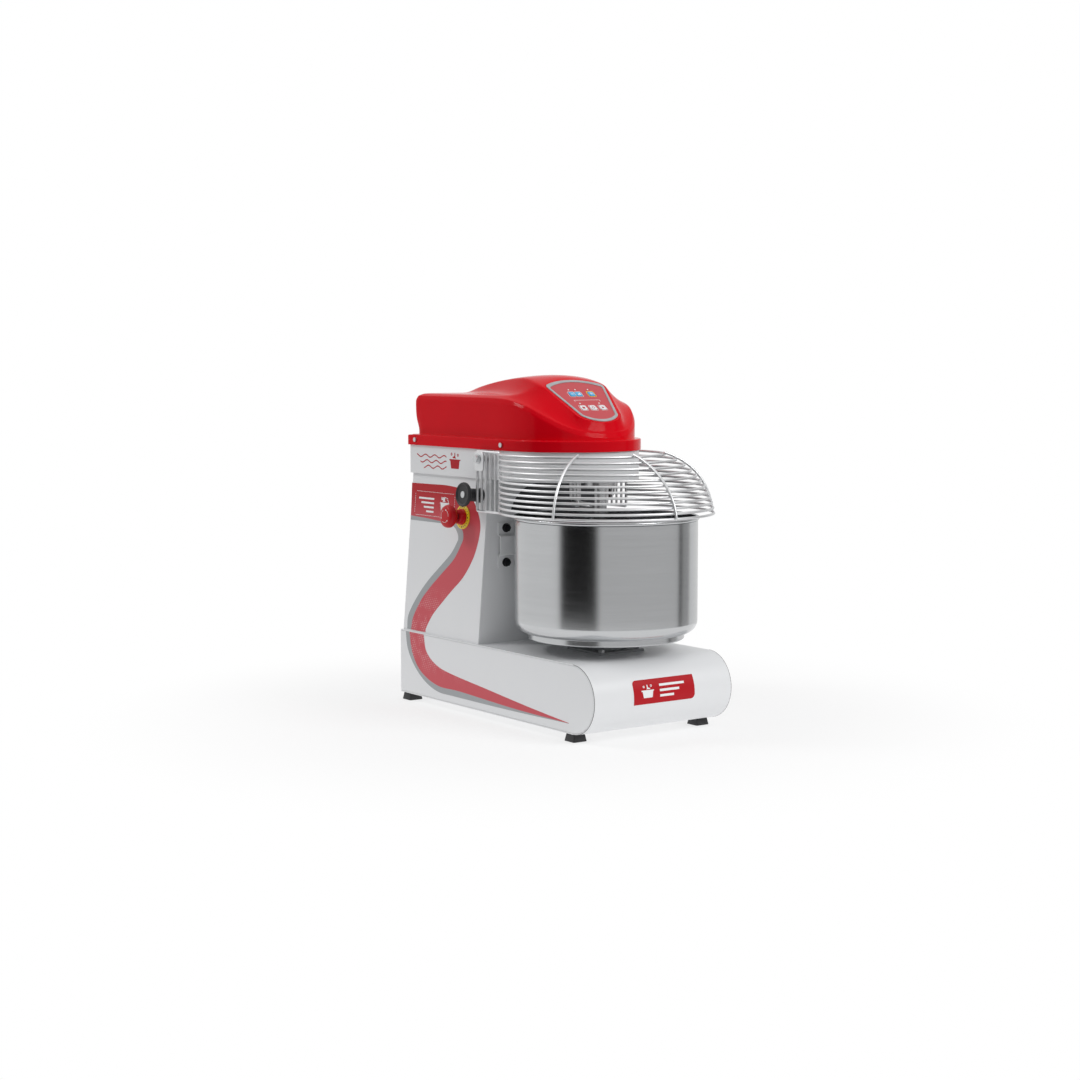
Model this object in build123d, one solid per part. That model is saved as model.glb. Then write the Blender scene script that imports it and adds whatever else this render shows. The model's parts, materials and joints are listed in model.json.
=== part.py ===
"""Bench spiral dough mixer with a turning bowl, a spiral hook and a lifting wire guard.

Millimetres, +Z up, +X to the right when seen from the front, the nose of the base points to -Y.
Everything is drawn with Y measured from the middle of the base, and save() then moves it along Y
so that the origin is the middle of the whole machine's footprint, on the floor.
"""
from build123d import *
from math import asin, atan, atan2, cos, radians, sin, sqrt, tan
import os

# ---- driving dimensions -------------------------------------------------------------------------
hole_gap = 0.2  # clearance round a fastener or a bearing, and between loose-fitted sheets
run_gap = 0.05  # radial clearance of a shaft turning in a bearing
contact_gap = 0.02  # keeps crossing wires from sinking into each other
move_gap = 0.3  # clearance between pieces that move past each other

foot_height = 13.9
foot_size = 29.0  # square tread of a rubber foot
foot_taper = 11.0  # degrees, narrower towards the top

base_length = 603.3
base_width = 297.5
base_height = 118.4
base_sheet = 2.0
side_seam = 0.5  # hairline between a side plate and the wrapped sheet

column_sheet = 2.0
column_height = 295.0
column_foot_inset = 3.75  # lip of base left bare on each side of the column
column_rear_inset = 4.35
cover_sheet = 1.5

bowl_radius = 160.0
bowl_height = 203.0
bowl_wall = 1.5
bowl_corner = 22.0
bowl_bead = 3.0  # radius of the rolled rim
bowl_from_nose = 163.75  # bowl axis behind the front of the base
bowl_to_column = 24.4
ring_radius = 137.25
ring_height = 10.4
bowl_lift = 23.3  # underside of the bowl's ring above the base

hook_radius = 60.0  # sweep of the spiral hook
hook_rod = 8.0  # radius of the hook's bar
hook_wall_gap = 6.6
hook_floor_gap = 12.0
spindle_radius = 11.0
bar_radius = 11.5
bar_gap = 3.5  # breaker bar to the sweep of the hook
bar_floor_gap = 22.0

head_half = 127.0
head_sheet = 1.5
head_nose = 106.0  # front of the head ahead of the spindle
head_plate = 6.0
column_top_inset = 5.5
casing_show = 52.7  # height of the white casing below the red cover
rim_height = 19.5
rim_proud = 4.0
cover_wall = 3.0
cover_inset = 11.0  # cover's upright wall inside its rim
deck_height = 76.5  # cover's flat deck above the rim
bevel_height = 13.0
hump_height = 36.0  # highest point of the cover above the deck
panel_slope = 34.5  # degrees from level

wire_radius = 2.25
frame_rod = 2.5  # radius of the side frames' rod, a little thicker than the wires
frame_corner = 3.4  # bend of the side frames' rod, the outermost wires end where it starts
guard_side_gap = 6.75  # side frames to the cover's rim
guard_reach = 28.5  # lowest wire ahead of the bowl
guard_over_bowl = 5.5
wire_count = 12
wire_pitch = 9.0
dome_height = 121.0
frame_length = 70.0
frame_bars = 4
lug_plate = 3.0
pivot_radius = 4.0
pivot_back = 9.0  # pivot ahead of the frame's rear bar

motor_radius = 58.0
motor_length = 150.0
gear_length = 50.0
shaft_radius = 9.0
head_pulley = 45.0
bowl_pulley = 90.0
small_pulley = 18.0
belt_width = 16.0
belt_thick = 6.0
pulley_flange = 2.5

gland_bore = 4.5
gland_reach = 14.0

# ---- places that follow from the dimensions -------------------------------------------------------
base_rear = base_length / 2
base_front = -base_rear
base_half = base_width / 2
base_top = foot_height + base_height
nose_radius = base_height / 2

bowl_y = base_front + bowl_from_nose
ring_z = base_top + bowl_lift
bowl_z = ring_z + ring_height
rim_z = bowl_z + bowl_height
bowl_floor = bowl_z + bowl_wall
bowl_inner = bowl_radius - bowl_wall

spindle_y = bowl_y + bowl_inner - hook_wall_gap - hook_radius
bar_y = spindle_y - hook_radius - bar_gap - bar_radius

column_front = bowl_y + bowl_radius + bowl_to_column
column_rear = base_rear - column_rear_inset
column_top = base_top + column_height
column_half_low = base_half - column_foot_inset
column_half_top = head_half - column_top_inset
lean = atan((column_half_low - column_half_top) / column_height)

head_front = spindle_y - head_nose
head_round = head_front + head_half  # centre of the head's round front
head_rear = column_rear + 1.0
rim_z0 = column_top + casing_show
rim_z1 = rim_z0 + rim_height
rim_half = head_half + rim_proud
rim_rear = head_rear + rim_proud
casing_top = rim_z1 - cover_wall
cover_half = rim_half - cover_inset
cover_rear = rim_rear - cover_inset
deck_z = rim_z1 + deck_height
hump_z = deck_z + hump_height
plate_top = column_top + head_plate

guard_half = rim_half + guard_side_gap + frame_rod
dome_radius = bowl_radius + guard_reach
wire_z0 = rim_z + guard_over_bowl
dome_base = wire_z0 - 12.0
pivot_y = column_front - 1.5
pivot_z = column_top + 36.7
frame_rear = pivot_y + pivot_back
frame_front = frame_rear - frame_length
frame_z0 = wire_z0 - frame_corner
frame_z1 = wire_z0 + (wire_count - 1) * wire_pitch + frame_corner

drive_y = column_front + 103.5
gear_top = column_top - 42.0
shelf_thick = 6.0

gland_x = -60.0
gland_z = base_top + 32.0

machine_front = bowl_y - dome_radius - 3 * wire_radius
machine_rear = column_rear + gland_reach
y_shift = -(machine_front + machine_rear) / 2

# control panel: its plane leans back, the local Y axis runs up the slope
panel_top_y = head_round - 19.0
panel_top_z = deck_z + 17.0
panel = Plane(origin=(0, panel_top_y, panel_top_z), x_dir=(1, 0, 0),
              z_dir=(0, -sin(radians(panel_slope)), cos(radians(panel_slope))))
panel_half = 64.0
panel_drop = 91.0
panel_foot_half = 40.0
bezel_width = 6.0
bezel_thick = 1.2
membrane_thick = 0.6
key_size = 12.5
key_travel = 0.5
key_row_white = -68.0
key_row_blue = -27.0
key_places = {
    "key_white_left": (-21.0, key_row_white),
    "key_white_middle": (0.0, key_row_white),
    "key_white_right": (21.0, key_row_white),
    "key_blue_left": (-21.0, key_row_blue),
    "key_blue_middle": (-6.5, key_row_blue),
    "key_blue_right": (21.0, key_row_blue),
}
light_places = [(-21.0, -13.5), (-6.5, -13.5), (21.0, -13.5), (-21.0, -54.5), (21.0, -54.5)]
light_radius = 1.5

UP = (Align.CENTER, Align.CENTER, Align.MIN)


# ---- small tools ------------------------------------------------------------------------------------
def save(node, *solids):
    """Write one named sub-part; several pieces stay separate solids."""
    placed = [Pos(0, y_shift, 0) * piece for solid in solids for piece in solid.solids()]
    shape = placed[0] if len(placed) == 1 else Compound(children=placed)
    export_step(shape, f"parts/{node}.step")


def block(x0, x1, y0, y1, z0, z1):
    """Box between two corners."""
    return Pos((x0 + x1) / 2, (y0 + y1) / 2, (z0 + z1) / 2) * Box(x1 - x0, y1 - y0, z1 - z0)


def on(plane, start, end, outer, bore=0):
    """Round disc or tube standing on a plane, between two distances along its normal."""
    body = plane.offset(start) * Cylinder(outer, end - start, align=UP)
    if bore:
        body -= plane.offset(start) * Cylinder(bore, end - start, align=UP)
    return body


def post(x, y, z0, z1, outer, bore=0):
    """Upright cylinder or tube."""
    return on(Plane((x, y, 0)), z0, z1, outer, bore)


def hexagon(plane, start, end, radius):
    """Six-sided head or nut standing on a plane."""
    return extrude(plane.offset(start) * RegularPolygon(radius, 6), end - start)


def wall_half(z):
    """Half-width of the leaning column at a height."""
    return column_half_low - (z - base_top) * tan(lean)


def side_plane(side, y, z):
    """Plane on the column's outer side, its normal pointing out."""
    return Plane(origin=(side * wall_half(z), y, z), x_dir=(0, 1, 0),
                 z_dir=(side * cos(lean), 0, sin(lean)))


def d_plan(half, rear, centre_y):
    """Plan of the head: a rectangle with a half-round front."""
    return Pos(0, centre_y) * Circle(half) + Pos(0, (centre_y + rear) / 2) * Rectangle(
        2 * half, rear - centre_y)


def d_block(half, rear, centre_y, z0, z1, taper=0):
    """Solid of the head's plan between two heights."""
    return extrude(Pos(0, 0, z0) * d_plan(half, rear, centre_y), z1 - z0, taper=taper)


def pulley(y, z0, radius, bore):
    """Flanged belt pulley with a flat groove."""
    z1 = z0 + belt_width + 2 * (pulley_flange + move_gap)
    wheel = post(0, y, z0, z1, radius, bore)
    return wheel - post(0, y, z0 + pulley_flange, z1 - pulley_flange, radius + 1, radius - belt_thick)


def loop_face(y_a, r_a, y_b, r_b, z):
    """Flat outline of a belt round two pulleys."""
    rings = [Pos(0, y_a, z) * Circle(r_a), Pos(0, y_b, z) * Circle(r_b)]
    return make_hull([edge for ring in rings for edge in ring.edges()])


def belt(y_a, r_a, y_b, r_b, pulley_z):
    """Belt lying in the grooves of two pulleys of the given outer radii."""
    z0 = pulley_z + pulley_flange + move_gap
    inner = move_gap - belt_thick
    outer = extrude(loop_face(y_a, r_a + 1, y_b, r_b + 1, z0), belt_width)
    return outer - extrude(loop_face(y_a, r_a + inner, y_b, r_b + inner, z0), belt_width)


# ---- base ---------------------------------------------------------------------------------------------
bowl_pulley_z = foot_height + 42.0
housing_radius = 32.0
housing_low = bowl_pulley_z + 32.0
foot_places = [(side * (base_half - foot_size / 2), y)
               for side in (-1, 1) for y in (base_front + 71.8, base_rear - 17.5)]
foot_bolt_radius = 3.0
foot_recess = 5.0
chassis_sheet = 4.0
chassis_z = foot_height + base_sheet


def base_profile(inset, rear):
    """Side outline of the base: a long box with a fully round nose."""
    round_y = base_front + nose_radius
    mid_z = foot_height + nose_radius
    tall = base_height - 2 * inset
    outline = Pos(round_y, mid_z) * Circle(tall / 2)
    outline += Pos((round_y + rear) / 2, mid_z) * Rectangle(rear - round_y, tall)
    return Plane.YZ * outline


def base_wrap():
    """One sheet folded over the top, round the nose and under the base."""
    skin = extrude(base_profile(0, base_rear), base_half, both=True)
    skin -= extrude(base_profile(base_sheet, base_rear + 1), base_half, both=True)
    skin -= post(0, bowl_y, base_top - base_sheet, base_top, housing_radius + move_gap)
    skin -= post(0, drive_y, base_top - base_sheet, base_top, shaft_radius + 5)
    skin -= block(-25, 25, drive_y + 80, drive_y + 110, base_top - base_sheet, base_top)
    for x, y in foot_places:
        skin -= post(x, y, foot_height, chassis_z, foot_bolt_radius + hole_gap)
    for x, y in housing_bolt_places():
        skin -= post(x, y, base_top - base_sheet, base_top, hex_shank + hole_gap)
    return skin


def base_side(side):
    """Flat side plate set inside the edge of the wrapped sheet."""
    plate = extrude(base_profile(base_sheet + side_seam, base_rear), base_sheet)
    shift = base_half - base_sheet if side > 0 else -base_half
    return Pos(shift, 0, 0) * plate


def base_rear_panel():
    """Plate that closes the back of the base, with a row of air slots."""
    half = base_half - base_sheet
    plate = block(-half, half, base_rear - base_sheet, base_rear, chassis_z, base_top - base_sheet)
    for step in range(-3, 4):
        slot = block(step * 24 - 3, step * 24 + 3, base_rear - base_sheet, base_rear,
                     foot_height + 35, foot_height + 85)
        plate -= slot
    return plate


def base_chassis():
    """Flat-bottomed tray that the feet and the lower shaft bearing bolt to."""
    half = base_half - base_sheet
    front = base_front + nose_radius
    rear = base_rear - base_sheet
    tray = block(-half, half, front, rear, chassis_z, chassis_z + 30)
    tray -= block(-half + chassis_sheet, half - chassis_sheet, front, rear,
                  chassis_z + chassis_sheet, chassis_z + 30)
    for x, y in foot_places:
        tray -= post(x, y, chassis_z, chassis_z + chassis_sheet, foot_bolt_radius + hole_gap)
    return tray


def rubber_foot(x, y):
    """Square tapered foot with a recess for its bolt."""
    body = extrude(Pos(x, y) * RectangleRounded(foot_size, foot_size, 3), foot_height, taper=foot_taper)
    body -= post(x, y, 0, foot_recess, 2 * foot_bolt_radius + hole_gap + 0.6)
    return body - post(x, y, foot_recess, foot_height, foot_bolt_radius + hole_gap)


def foot_fastener(x, y):
    """Bolt from below through foot, wrap and chassis, and the nut on it."""
    tread = Plane((x, y, 0))
    nut_z = chassis_z + chassis_sheet
    screw = on(tread, 1.5, foot_recess, 2 * foot_bolt_radius)
    screw += on(tread, foot_recess, nut_z + 6, foot_bolt_radius)
    nut = hexagon(tread, nut_z, nut_z + 5, 5.5) - on(tread, nut_z, nut_z + 5, foot_bolt_radius)
    return screw, nut


# ---- column ---------------------------------------------------------------------------------------------
def column_section(inset, grow=0):
    """Leaning-sided outline of the column seen from the front."""
    low = column_half_low - inset
    high = column_half_top - inset
    step = grow * tan(lean)
    return Plane.XZ * Polygon((-low - step, base_top - grow), (low + step, base_top - grow),
                              (high - step, column_top + grow), (-high + step, column_top + grow),
                              align=None)


def column_block(inset, y0, y1, grow=0):
    """Solid of the column's outline between two depths."""
    return Pos(0, y1, 0) * extrude(column_section(inset, grow), y1 - y0)


bracket_half = 16.0
bracket_tall = 80.0
bracket_rise = 9.0
bracket_sheet = 2.5
bracket_x = column_half_low - 59.0
bracket_mid = base_top + 175.5
bracket_bolt_step = 31.0
bumper_plane_z = column_top - 30.3
bumper_neck = 12.0
bumper_disc = 22.0
bumper_y = frame_rear + frame_rod + move_gap + bumper_neck
bumper_length = (guard_half + 23.0 - wall_half(bumper_plane_z)) / cos(lean)
estop_y = column_front + 73.5
estop_z = column_top - 72.3


def column_shell():
    """Front and both sides of the column in one folded sheet."""
    skin = column_block(0, column_front, column_rear - cover_sheet)
    skin -= column_block(column_sheet, column_front + column_sheet, column_rear, grow=1)
    front = [edge for edge in skin.edges().filter_by(GeomType.LINE)
             if abs(edge.center().Y - column_front) < 0.01 and edge.length > column_height - 1]
    skin = fillet(front, column_sheet - 0.4)
    for side in (-1, 1):
        for z in bracket_bolt_heights():
            skin -= on(Plane((side * bracket_x, column_front, z), z_dir=(0, 1, 0)), 0,
                       column_sheet, 3 + hole_gap)
        skin -= on(side_plane(side, bumper_y, bumper_plane_z), -2 * column_sheet, 1, 3 + hole_gap)
    return skin - on(side_plane(-1, estop_y, estop_z), -2 * column_sheet, 1, 11 + hole_gap)


def rear_cover_screw_places():
    """Screw centres near the corners and middle of the rear cover."""
    places = []
    for z in (base_top + 14, (base_top + column_top) / 2, column_top - 14):
        half = wall_half(z) - 9
        places += [(-half, z), (half, z)]
    return places


def column_rear_cover():
    """Sheet that closes the back of the column, with louvre slots and the cable entry."""
    sheet = column_block(0, column_rear - cover_sheet, column_rear)
    for row in range(8):
        z = column_top - 90 - row * 10
        sheet -= block(-45, 45, column_rear - cover_sheet, column_rear, z, z + 4)
    sheet -= on(gland_plane(), -cover_sheet, 0, 8 + hole_gap)
    for x, z in rear_cover_screw_places():
        sheet -= on(Plane((x, column_rear, z), z_dir=(0, 1, 0)), -cover_sheet, 0, pan_shank + hole_gap)
    return sheet


def bracket_bolt_heights():
    """Heights of the two bolts of a front bracket."""
    return bracket_mid - bracket_bolt_step, bracket_mid + bracket_bolt_step


def front_bracket(side):
    """Hat-section bracket bolted to the column's front, its middle standing proud."""
    tall = bracket_tall / 2
    flat = 20.0
    slope = 5.0
    sheet = bracket_sheet
    y = column_front
    outline = Polygon(
        (y, -tall), (y, -flat + 1), (y - bracket_rise + sheet, -flat + slope),
        (y - bracket_rise + sheet, flat - slope), (y, flat - 1), (y, tall),
        (y - sheet, tall), (y - sheet, flat), (y - bracket_rise, flat - slope + 1),
        (y - bracket_rise, -flat + slope - 1), (y - sheet, -flat), (y - sheet, -tall), align=None)
    hat = extrude(Plane.YZ * outline, bracket_half, both=True)
    hat = Pos(side * bracket_x, 0, bracket_mid) * hat
    for z in bracket_bolt_heights():
        hat -= on(Plane((side * bracket_x, y - sheet, z), z_dir=(0, 1, 0)), 0, sheet, 3 + hole_gap)
    return hat


def bracket_bolt(side, z):
    """Black dome-headed bolt with a washer face."""
    face = Plane((side * bracket_x, column_front - bracket_sheet, z), x_dir=(1, 0, 0), z_dir=(0, -1, 0))
    head = on(face, 0, 1.5, 8.0) + hexagon(face, 1.5, 6.5, 7.0)
    return head + on(face, -(bracket_sheet + column_sheet + 6), 0, 3)


def bumper(side):
    """Rubber bobbin that the closed guard's side frame leans against."""
    wall = side_plane(side, bumper_y, bumper_plane_z)
    body = on(wall, 0, bumper_length - 6, bumper_neck)
    body += on(wall, bumper_length - 7, bumper_length, bumper_disc)
    body -= on(wall, bumper_length - 2.5, bumper_length, bumper_disc - 4)
    return body - on(wall, 0, bumper_length, 3 + hole_gap)


def gland_plane():
    """Place of the cable gland on the rear cover, pointing backwards."""
    return Plane((gland_x, column_rear, gland_z), x_dir=(1, 0, 0), z_dir=(0, 1, 0))


def cable_gland():
    """Cable gland with a through bore, and its locknut behind the sheet."""
    spot = gland_plane()
    inner = -cover_sheet - 7
    body = hexagon(spot, 0, 5, 12) + on(spot, 5, gland_reach, 9.5) + on(spot, inner, 0, 8)
    body -= on(spot, inner, gland_reach, gland_bore)
    nut = hexagon(spot, -cover_sheet - 5, -cover_sheet, 12)
    nut -= on(spot, -cover_sheet - 5, -cover_sheet, 8 + hole_gap)
    return body, nut


# ---- fasteners shared by several places -----------------------------------------------------------------
pan_head = 4.2
pan_tall = 2.2
pan_shank = 2.0
hex_shank = 3.0
hex_head = 5.6
hex_tall = 4.0
cover_screw_y = (column_rear - 22.3, head_round + 19.4)
cover_screw_z = rim_z0 + rim_height / 2


def pan_screw(plane, length):
    """Small pan-headed screw, head on the plane."""
    return on(plane, 0, pan_tall, pan_head) + on(plane, -length, 0, pan_shank)


def hex_bolt(plane, length):
    """Hexagon-headed bolt, head on the plane."""
    return hexagon(plane, 0, hex_tall, hex_head) + on(plane, -length, 0, hex_shank)


def cover_screw_planes():
    """Places of the screws through the cover's rim."""
    return [Plane((side * rim_half, y, cover_screw_z), x_dir=(0, 1, 0), z_dir=(side, 0, 0))
            for side in (-1, 1) for y in cover_screw_y]


def pan_screws():
    """Screws of the cover's rim, the rear cover and the two bumpers."""
    screws = [pan_screw(spot, rim_proud + head_sheet + 4) for spot in cover_screw_planes()]
    for x, z in rear_cover_screw_places():
        screws.append(pan_screw(Plane((x, column_rear, z), x_dir=(1, 0, 0), z_dir=(0, 1, 0)), 7))
    return screws + [bumper_screw(side) for side in (-1, 1)]


def bumper_screw(side):
    """Long screw that holds a bumper, its head sunk in the dish."""
    wall = side_plane(side, bumper_y, bumper_plane_z)
    seat = wall.offset(bumper_length - 2.5)
    return on(seat, 0, 2, 6) + on(seat, -(bumper_length + 4), 0, 3)


def housing_bolt_places():
    """Bolts of the bowl's bearing housing, round the bowl axis."""
    return [(sx * 41, bowl_y + sy * 41) for sx in (-1, 1) for sy in (-1, 1)]


def bar_bolt_places():
    """Bolts of the breaker bar's flange."""
    return [(20 * cos(radians(a)), bar_y + 20 * sin(radians(a))) for a in (30, 150, 270)]


def hex_bolts():
    """Bolts of the bowl housing, the breaker bar and the spindle housing."""
    bolts = []
    for x, y in housing_bolt_places():
        bolts.append(hex_bolt(Plane((x, y, base_top + housing_flange)), housing_flange + 12))
    for x, y in bar_bolt_places():
        spot = Plane((x, y, column_top - bar_flange), x_dir=(1, 0, 0), z_dir=(0, 0, -1))
        bolts.append(hex_bolt(spot, bar_flange + head_plate + 2))
    for x, y in spindle_bolt_places():
        bolts.append(hex_bolt(Plane((x, y, plate_top + 5)), 5 + head_plate - 1))
    return bolts


# ---- head -----------------------------------------------------------------------------------------------------
spindle_tube = 29.0
bearing_outer = 22.0
bearing_tall = 12.0
spindle_pulley_z = casing_top + 7.0
bar_flange = 7.0
pivot_hole = pivot_radius + hole_gap


def spindle_bolt_places():
    """Bolts of the spindle housing on the head plate."""
    return [(37 * cos(radians(a)), spindle_y + 37 * sin(radians(a))) for a in (0, 60, 120, 180)]


def head_casing():
    """White band of sheet that follows the head's plan."""
    band = d_block(head_half, head_rear, head_round, column_top, casing_top)
    band -= d_block(head_half - head_sheet, head_rear - head_sheet, head_round, column_top, casing_top)
    for side in (-1, 1):
        spot = Plane((side * head_half, pivot_y, pivot_z), x_dir=(0, 1, 0), z_dir=(side, 0, 0))
        band -= on(spot, -head_sheet, 0, pivot_hole)
    for spot in cover_screw_planes():
        band -= on(spot, -rim_proud - 2 * head_sheet, 0, pan_shank + hole_gap)
    return band


def head_floor():
    """Thick plate that carries the spindle, the breaker bar and the upper drive bearing."""
    inset = head_sheet
    plate = d_block(head_half - inset, head_rear - inset, head_round, column_top, plate_top)
    plate -= post(0, spindle_y, column_top, plate_top, spindle_tube + hole_gap)
    plate -= post(0, drive_y, column_top, plate_top, bearing_outer + hole_gap)
    plate -= post(0, drive_y + 85, column_top, plate_top, 20)
    for x, y in bar_bolt_places() + spindle_bolt_places():
        plate -= post(x, y, column_top, plate_top, hex_shank + hole_gap)
    return plate


def hump_side(inset):
    """Side outline of the raised spine: long back, crest, and the panel's slope."""
    drop = inset / cos(radians(panel_slope))
    slope = tan(radians(panel_slope))
    front_y = head_round - cover_half
    front_z = panel_top_z + (front_y - panel_top_y) * slope - drop
    crest_y = panel_top_y + 22
    crest_z = panel_top_z + (crest_y - panel_top_y) * slope - drop
    top = hump_z - inset
    back_y = cover_rear - 60
    line = Polyline((back_y + 10, rim_z0), (front_y, rim_z0), (front_y, front_z), (crest_y, crest_z))
    back = ThreePointArc((crest_y, crest_z), (crest_y + 62, top), (back_y, deck_z + 19))
    down = Line((back_y, deck_z + 19), (back_y + 10, rim_z0))
    return Plane.YZ * make_face([line, back, down])


def cover_form(inset, floor_z):
    """Outer form of the moulded cover, drawn smaller by a wall thickness for its inside."""
    half = cover_half - inset
    rear = cover_rear - inset
    slope = tan(radians(panel_slope))
    deck = deck_z - inset
    shoulder_drop = 15.5 + inset / cos(radians(panel_slope))
    front_y = head_round - cover_half
    low_z = panel_top_z + (front_y - panel_top_y) * slope - shoulder_drop
    knee_y = panel_top_y + (deck - panel_top_z + shoulder_drop) / slope
    wall = d_block(half, rear, head_round, floor_z, deck_z - bevel_height)
    wall += d_block(half, rear, head_round, deck_z - bevel_height, deck, taper=38)
    outline = Polygon((rear + 1, floor_z), (front_y - 1, floor_z), (front_y - 1, low_z - slope),
                      (knee_y, deck), (rear + 1, deck), align=None)
    knee = outline.vertices().sort_by_distance((knee_y, deck, 0))[0]
    body = wall & extrude(Plane.YZ * fillet(knee, 120), half + 1, both=True)
    spread = inset * sqrt(2)
    foot_z = deck_z - 66
    plan = Polygon((-108, cover_rear - 2), (-150, head_round + 35), (-152, panel_top_y - 4),
                   (-60, head_front - 2), (60, head_front - 2), (152, panel_top_y - 4),
                   (150, head_round + 35), (108, cover_rear - 2), align=None)
    plan = offset(plan, -spread) if inset else plan
    spine = extrude(Pos(0, 0, foot_z) * plan, hump_z + 4 - foot_z, taper=44)
    spine &= extrude(hump_side(inset), half, both=True)
    spine &= d_block(half, rear, head_round, foot_z, hump_z + 10)
    return body + spine


def panel_outline(inset):
    """Shield-shaped outline of the control panel, in the panel's own plane."""
    top = panel_half - inset
    low = panel_foot_half - inset * 0.8
    crown = 15.5 - inset
    shield = [
        ThreePointArc((-top, -inset), (0, crown), (top, -inset)),
        Line((top, -inset), (low, -panel_drop + inset * 0.4)),
        ThreePointArc((low, -panel_drop + inset * 0.4), (0, -panel_drop - 17 + inset),
                      (-low, -panel_drop + inset * 0.4)),
        Line((-low, -panel_drop + inset * 0.4), (-top, -inset)),
    ]
    face = make_face(shield)
    return fillet(face.vertices(), 9 - inset / 2)


def panel_windows(gap, start, end):
    """Openings for the keys and the indicator lights."""
    wide = key_size + 2 * gap
    front = panel.offset(start)
    keys = [extrude(front * Pos(u, v) * Rectangle(wide, wide), end - start) for u, v in key_places.values()]
    lights = [front * Pos(u, v) * Cylinder(light_radius + gap, end - start, align=UP)
              for u, v in light_places]
    return keys + lights


def top_cover():
    """Red moulded cover: rim, upright wall, bevelled deck and the raised spine with the panel."""
    rim = d_block(rim_half, rim_rear, head_round, rim_z0, rim_z1)
    rim = fillet(rim.edges().filter_by(Plane.XY).group_by(Axis.Z)[-1], 4)
    inner = rim_half - cover_wall
    rim -= d_block(inner, rim_rear - cover_wall, head_round, rim_z0, casing_top)
    rim -= d_block(cover_half - cover_wall, cover_rear - cover_wall, head_round, casing_top, rim_z1)
    shell = rim + (cover_form(0, casing_top) - cover_form(cover_wall, casing_top))
    for tool in panel_windows(0.6, -cover_wall - 3, 2):
        shell -= tool
    for spot in cover_screw_planes():
        shell -= on(spot, -cover_wall, 0, pan_shank + hole_gap)
    return shell


def panel_bezel():
    """Grey frame round the control panel."""
    frame = extrude(panel * panel_outline(0), bezel_thick)
    return frame - extrude(panel * panel_outline(bezel_width), bezel_thick)


def panel_membrane():
    """Thin printed front of the control panel."""
    sheet = extrude(panel * panel_outline(bezel_width + hole_gap), membrane_thick)
    for tool in panel_windows(0.3, 0, membrane_thick):
        sheet -= tool
    return sheet


def key(u, v):
    """Key cap standing a little proud of the membrane."""
    cap = extrude(panel.offset(-4) * Pos(u, v) * RectangleRounded(key_size, key_size, 1.5), 5.4)
    top = cap.faces().filter_by(panel).sort_by(Axis(panel.origin, panel.z_dir))[-1]
    return chamfer(top.edges(), 0.5)


def panel_lights():
    """Light pipes from the board to the front of the panel."""
    return [panel.offset(-7) * Pos(u, v) * Cylinder(light_radius, 7.9, align=UP) for u, v in light_places]


def panel_board():
    """Circuit board under the panel: stand-offs to the cover and a switch below each key."""
    board = extrude(panel.offset(-8.6) * Pos(0, -41) * Rectangle(74, 80), 1.6)
    for u, v in ((-33, -8), (33, -8), (-30, -77), (30, -77)):
        board += panel.offset(-7) * Pos(u, v) * Cylinder(2.5, 7 - cover_wall, align=UP)
    for u, v in key_places.values():
        board += extrude(panel.offset(-7) * Pos(u, v) * Rectangle(7, 7), 3 - key_travel - 0.1)
    return board


# ---- emergency stop ---------------------------------------------------------------------------------------------
estop_reach = 40.5
estop_travel = 5.0
stop_wall = side_plane(-1, estop_y, estop_z)


def estop_ring():
    """Yellow disc behind the emergency stop."""
    return on(stop_wall, 0, 2.5, 22, 11 + hole_gap)


def estop_collar():
    """Red collar, threaded barrel and its nut line inside the column."""
    body = on(stop_wall, 2.5, 14, 14) + on(stop_wall, -8, 2.5, 11)
    return body - on(stop_wall, -8, 14, 6 + move_gap)


def estop_stem():
    """Plunger that the cap is held on."""
    return on(stop_wall, -12, 23, 6)


def estop_cap():
    """Mushroom cap with a domed face."""
    back = 20.0
    line = Axis(stop_wall.origin, stop_wall.z_dir)
    cap = on(stop_wall, back, estop_reach, 21)
    rims = cap.edges().filter_by(GeomType.CIRCLE).sort_by(line)
    cap = fillet(rims[-1], 9)
    cap = chamfer(cap.edges().filter_by(GeomType.CIRCLE).sort_by(line)[0], 5, 3)
    return cap - on(stop_wall, back, 23 + run_gap, 6 + run_gap)


def estop_contacts():
    """Contact block on the end of the collar's barrel, hollow where the plunger moves."""
    body = extrude(stop_wall.offset(-50) * Rectangle(30, 36), 42)
    return body - on(stop_wall, -13 - estop_travel, -8, 6 + move_gap)


# ---- guard ---------------------------------------------------------------------------------------------------------
def dome_reach(z):
    """How far the guard stands ahead of the bowl axis at a height."""
    return dome_radius * sqrt(1 - ((z - dome_base) / dome_height) ** 2)


def wire_heights():
    """Heights of the guard's level wires."""
    return [wire_z0 + step * wire_pitch for step in range(wire_count)]


def wire_circle(z):
    """Centre Y and radius of the arc through both side frames and the dome's front."""
    front = bowl_y - dome_reach(z)
    centre = ((front ** 2 - frame_front ** 2) - guard_half ** 2) / (2 * (front - frame_front))
    return centre, centre - front


def guard_loop(side):
    """Rounded rod loop of a side frame."""
    mid_y = (frame_rear + frame_front) / 2
    mid_z = (frame_z0 + frame_z1) / 2
    plane = Plane((side * guard_half, mid_y, mid_z), x_dir=(0, 1, 0), z_dir=(1, 0, 0))
    path = (plane * RectangleRounded(frame_length, frame_z1 - frame_z0, frame_corner)).face().outer_wire()
    start = path @ 0
    section = Plane(start, z_dir=path % 0) * Circle(frame_rod)
    return sweep(section, path=path)


def lug_plane(side):
    """Inner face of the pivot lug, pointing outwards."""
    return Plane((side * (guard_half + frame_rod), pivot_y, pivot_z), x_dir=(0, side, 0),
                 z_dir=(side, 0, 0))


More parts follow.
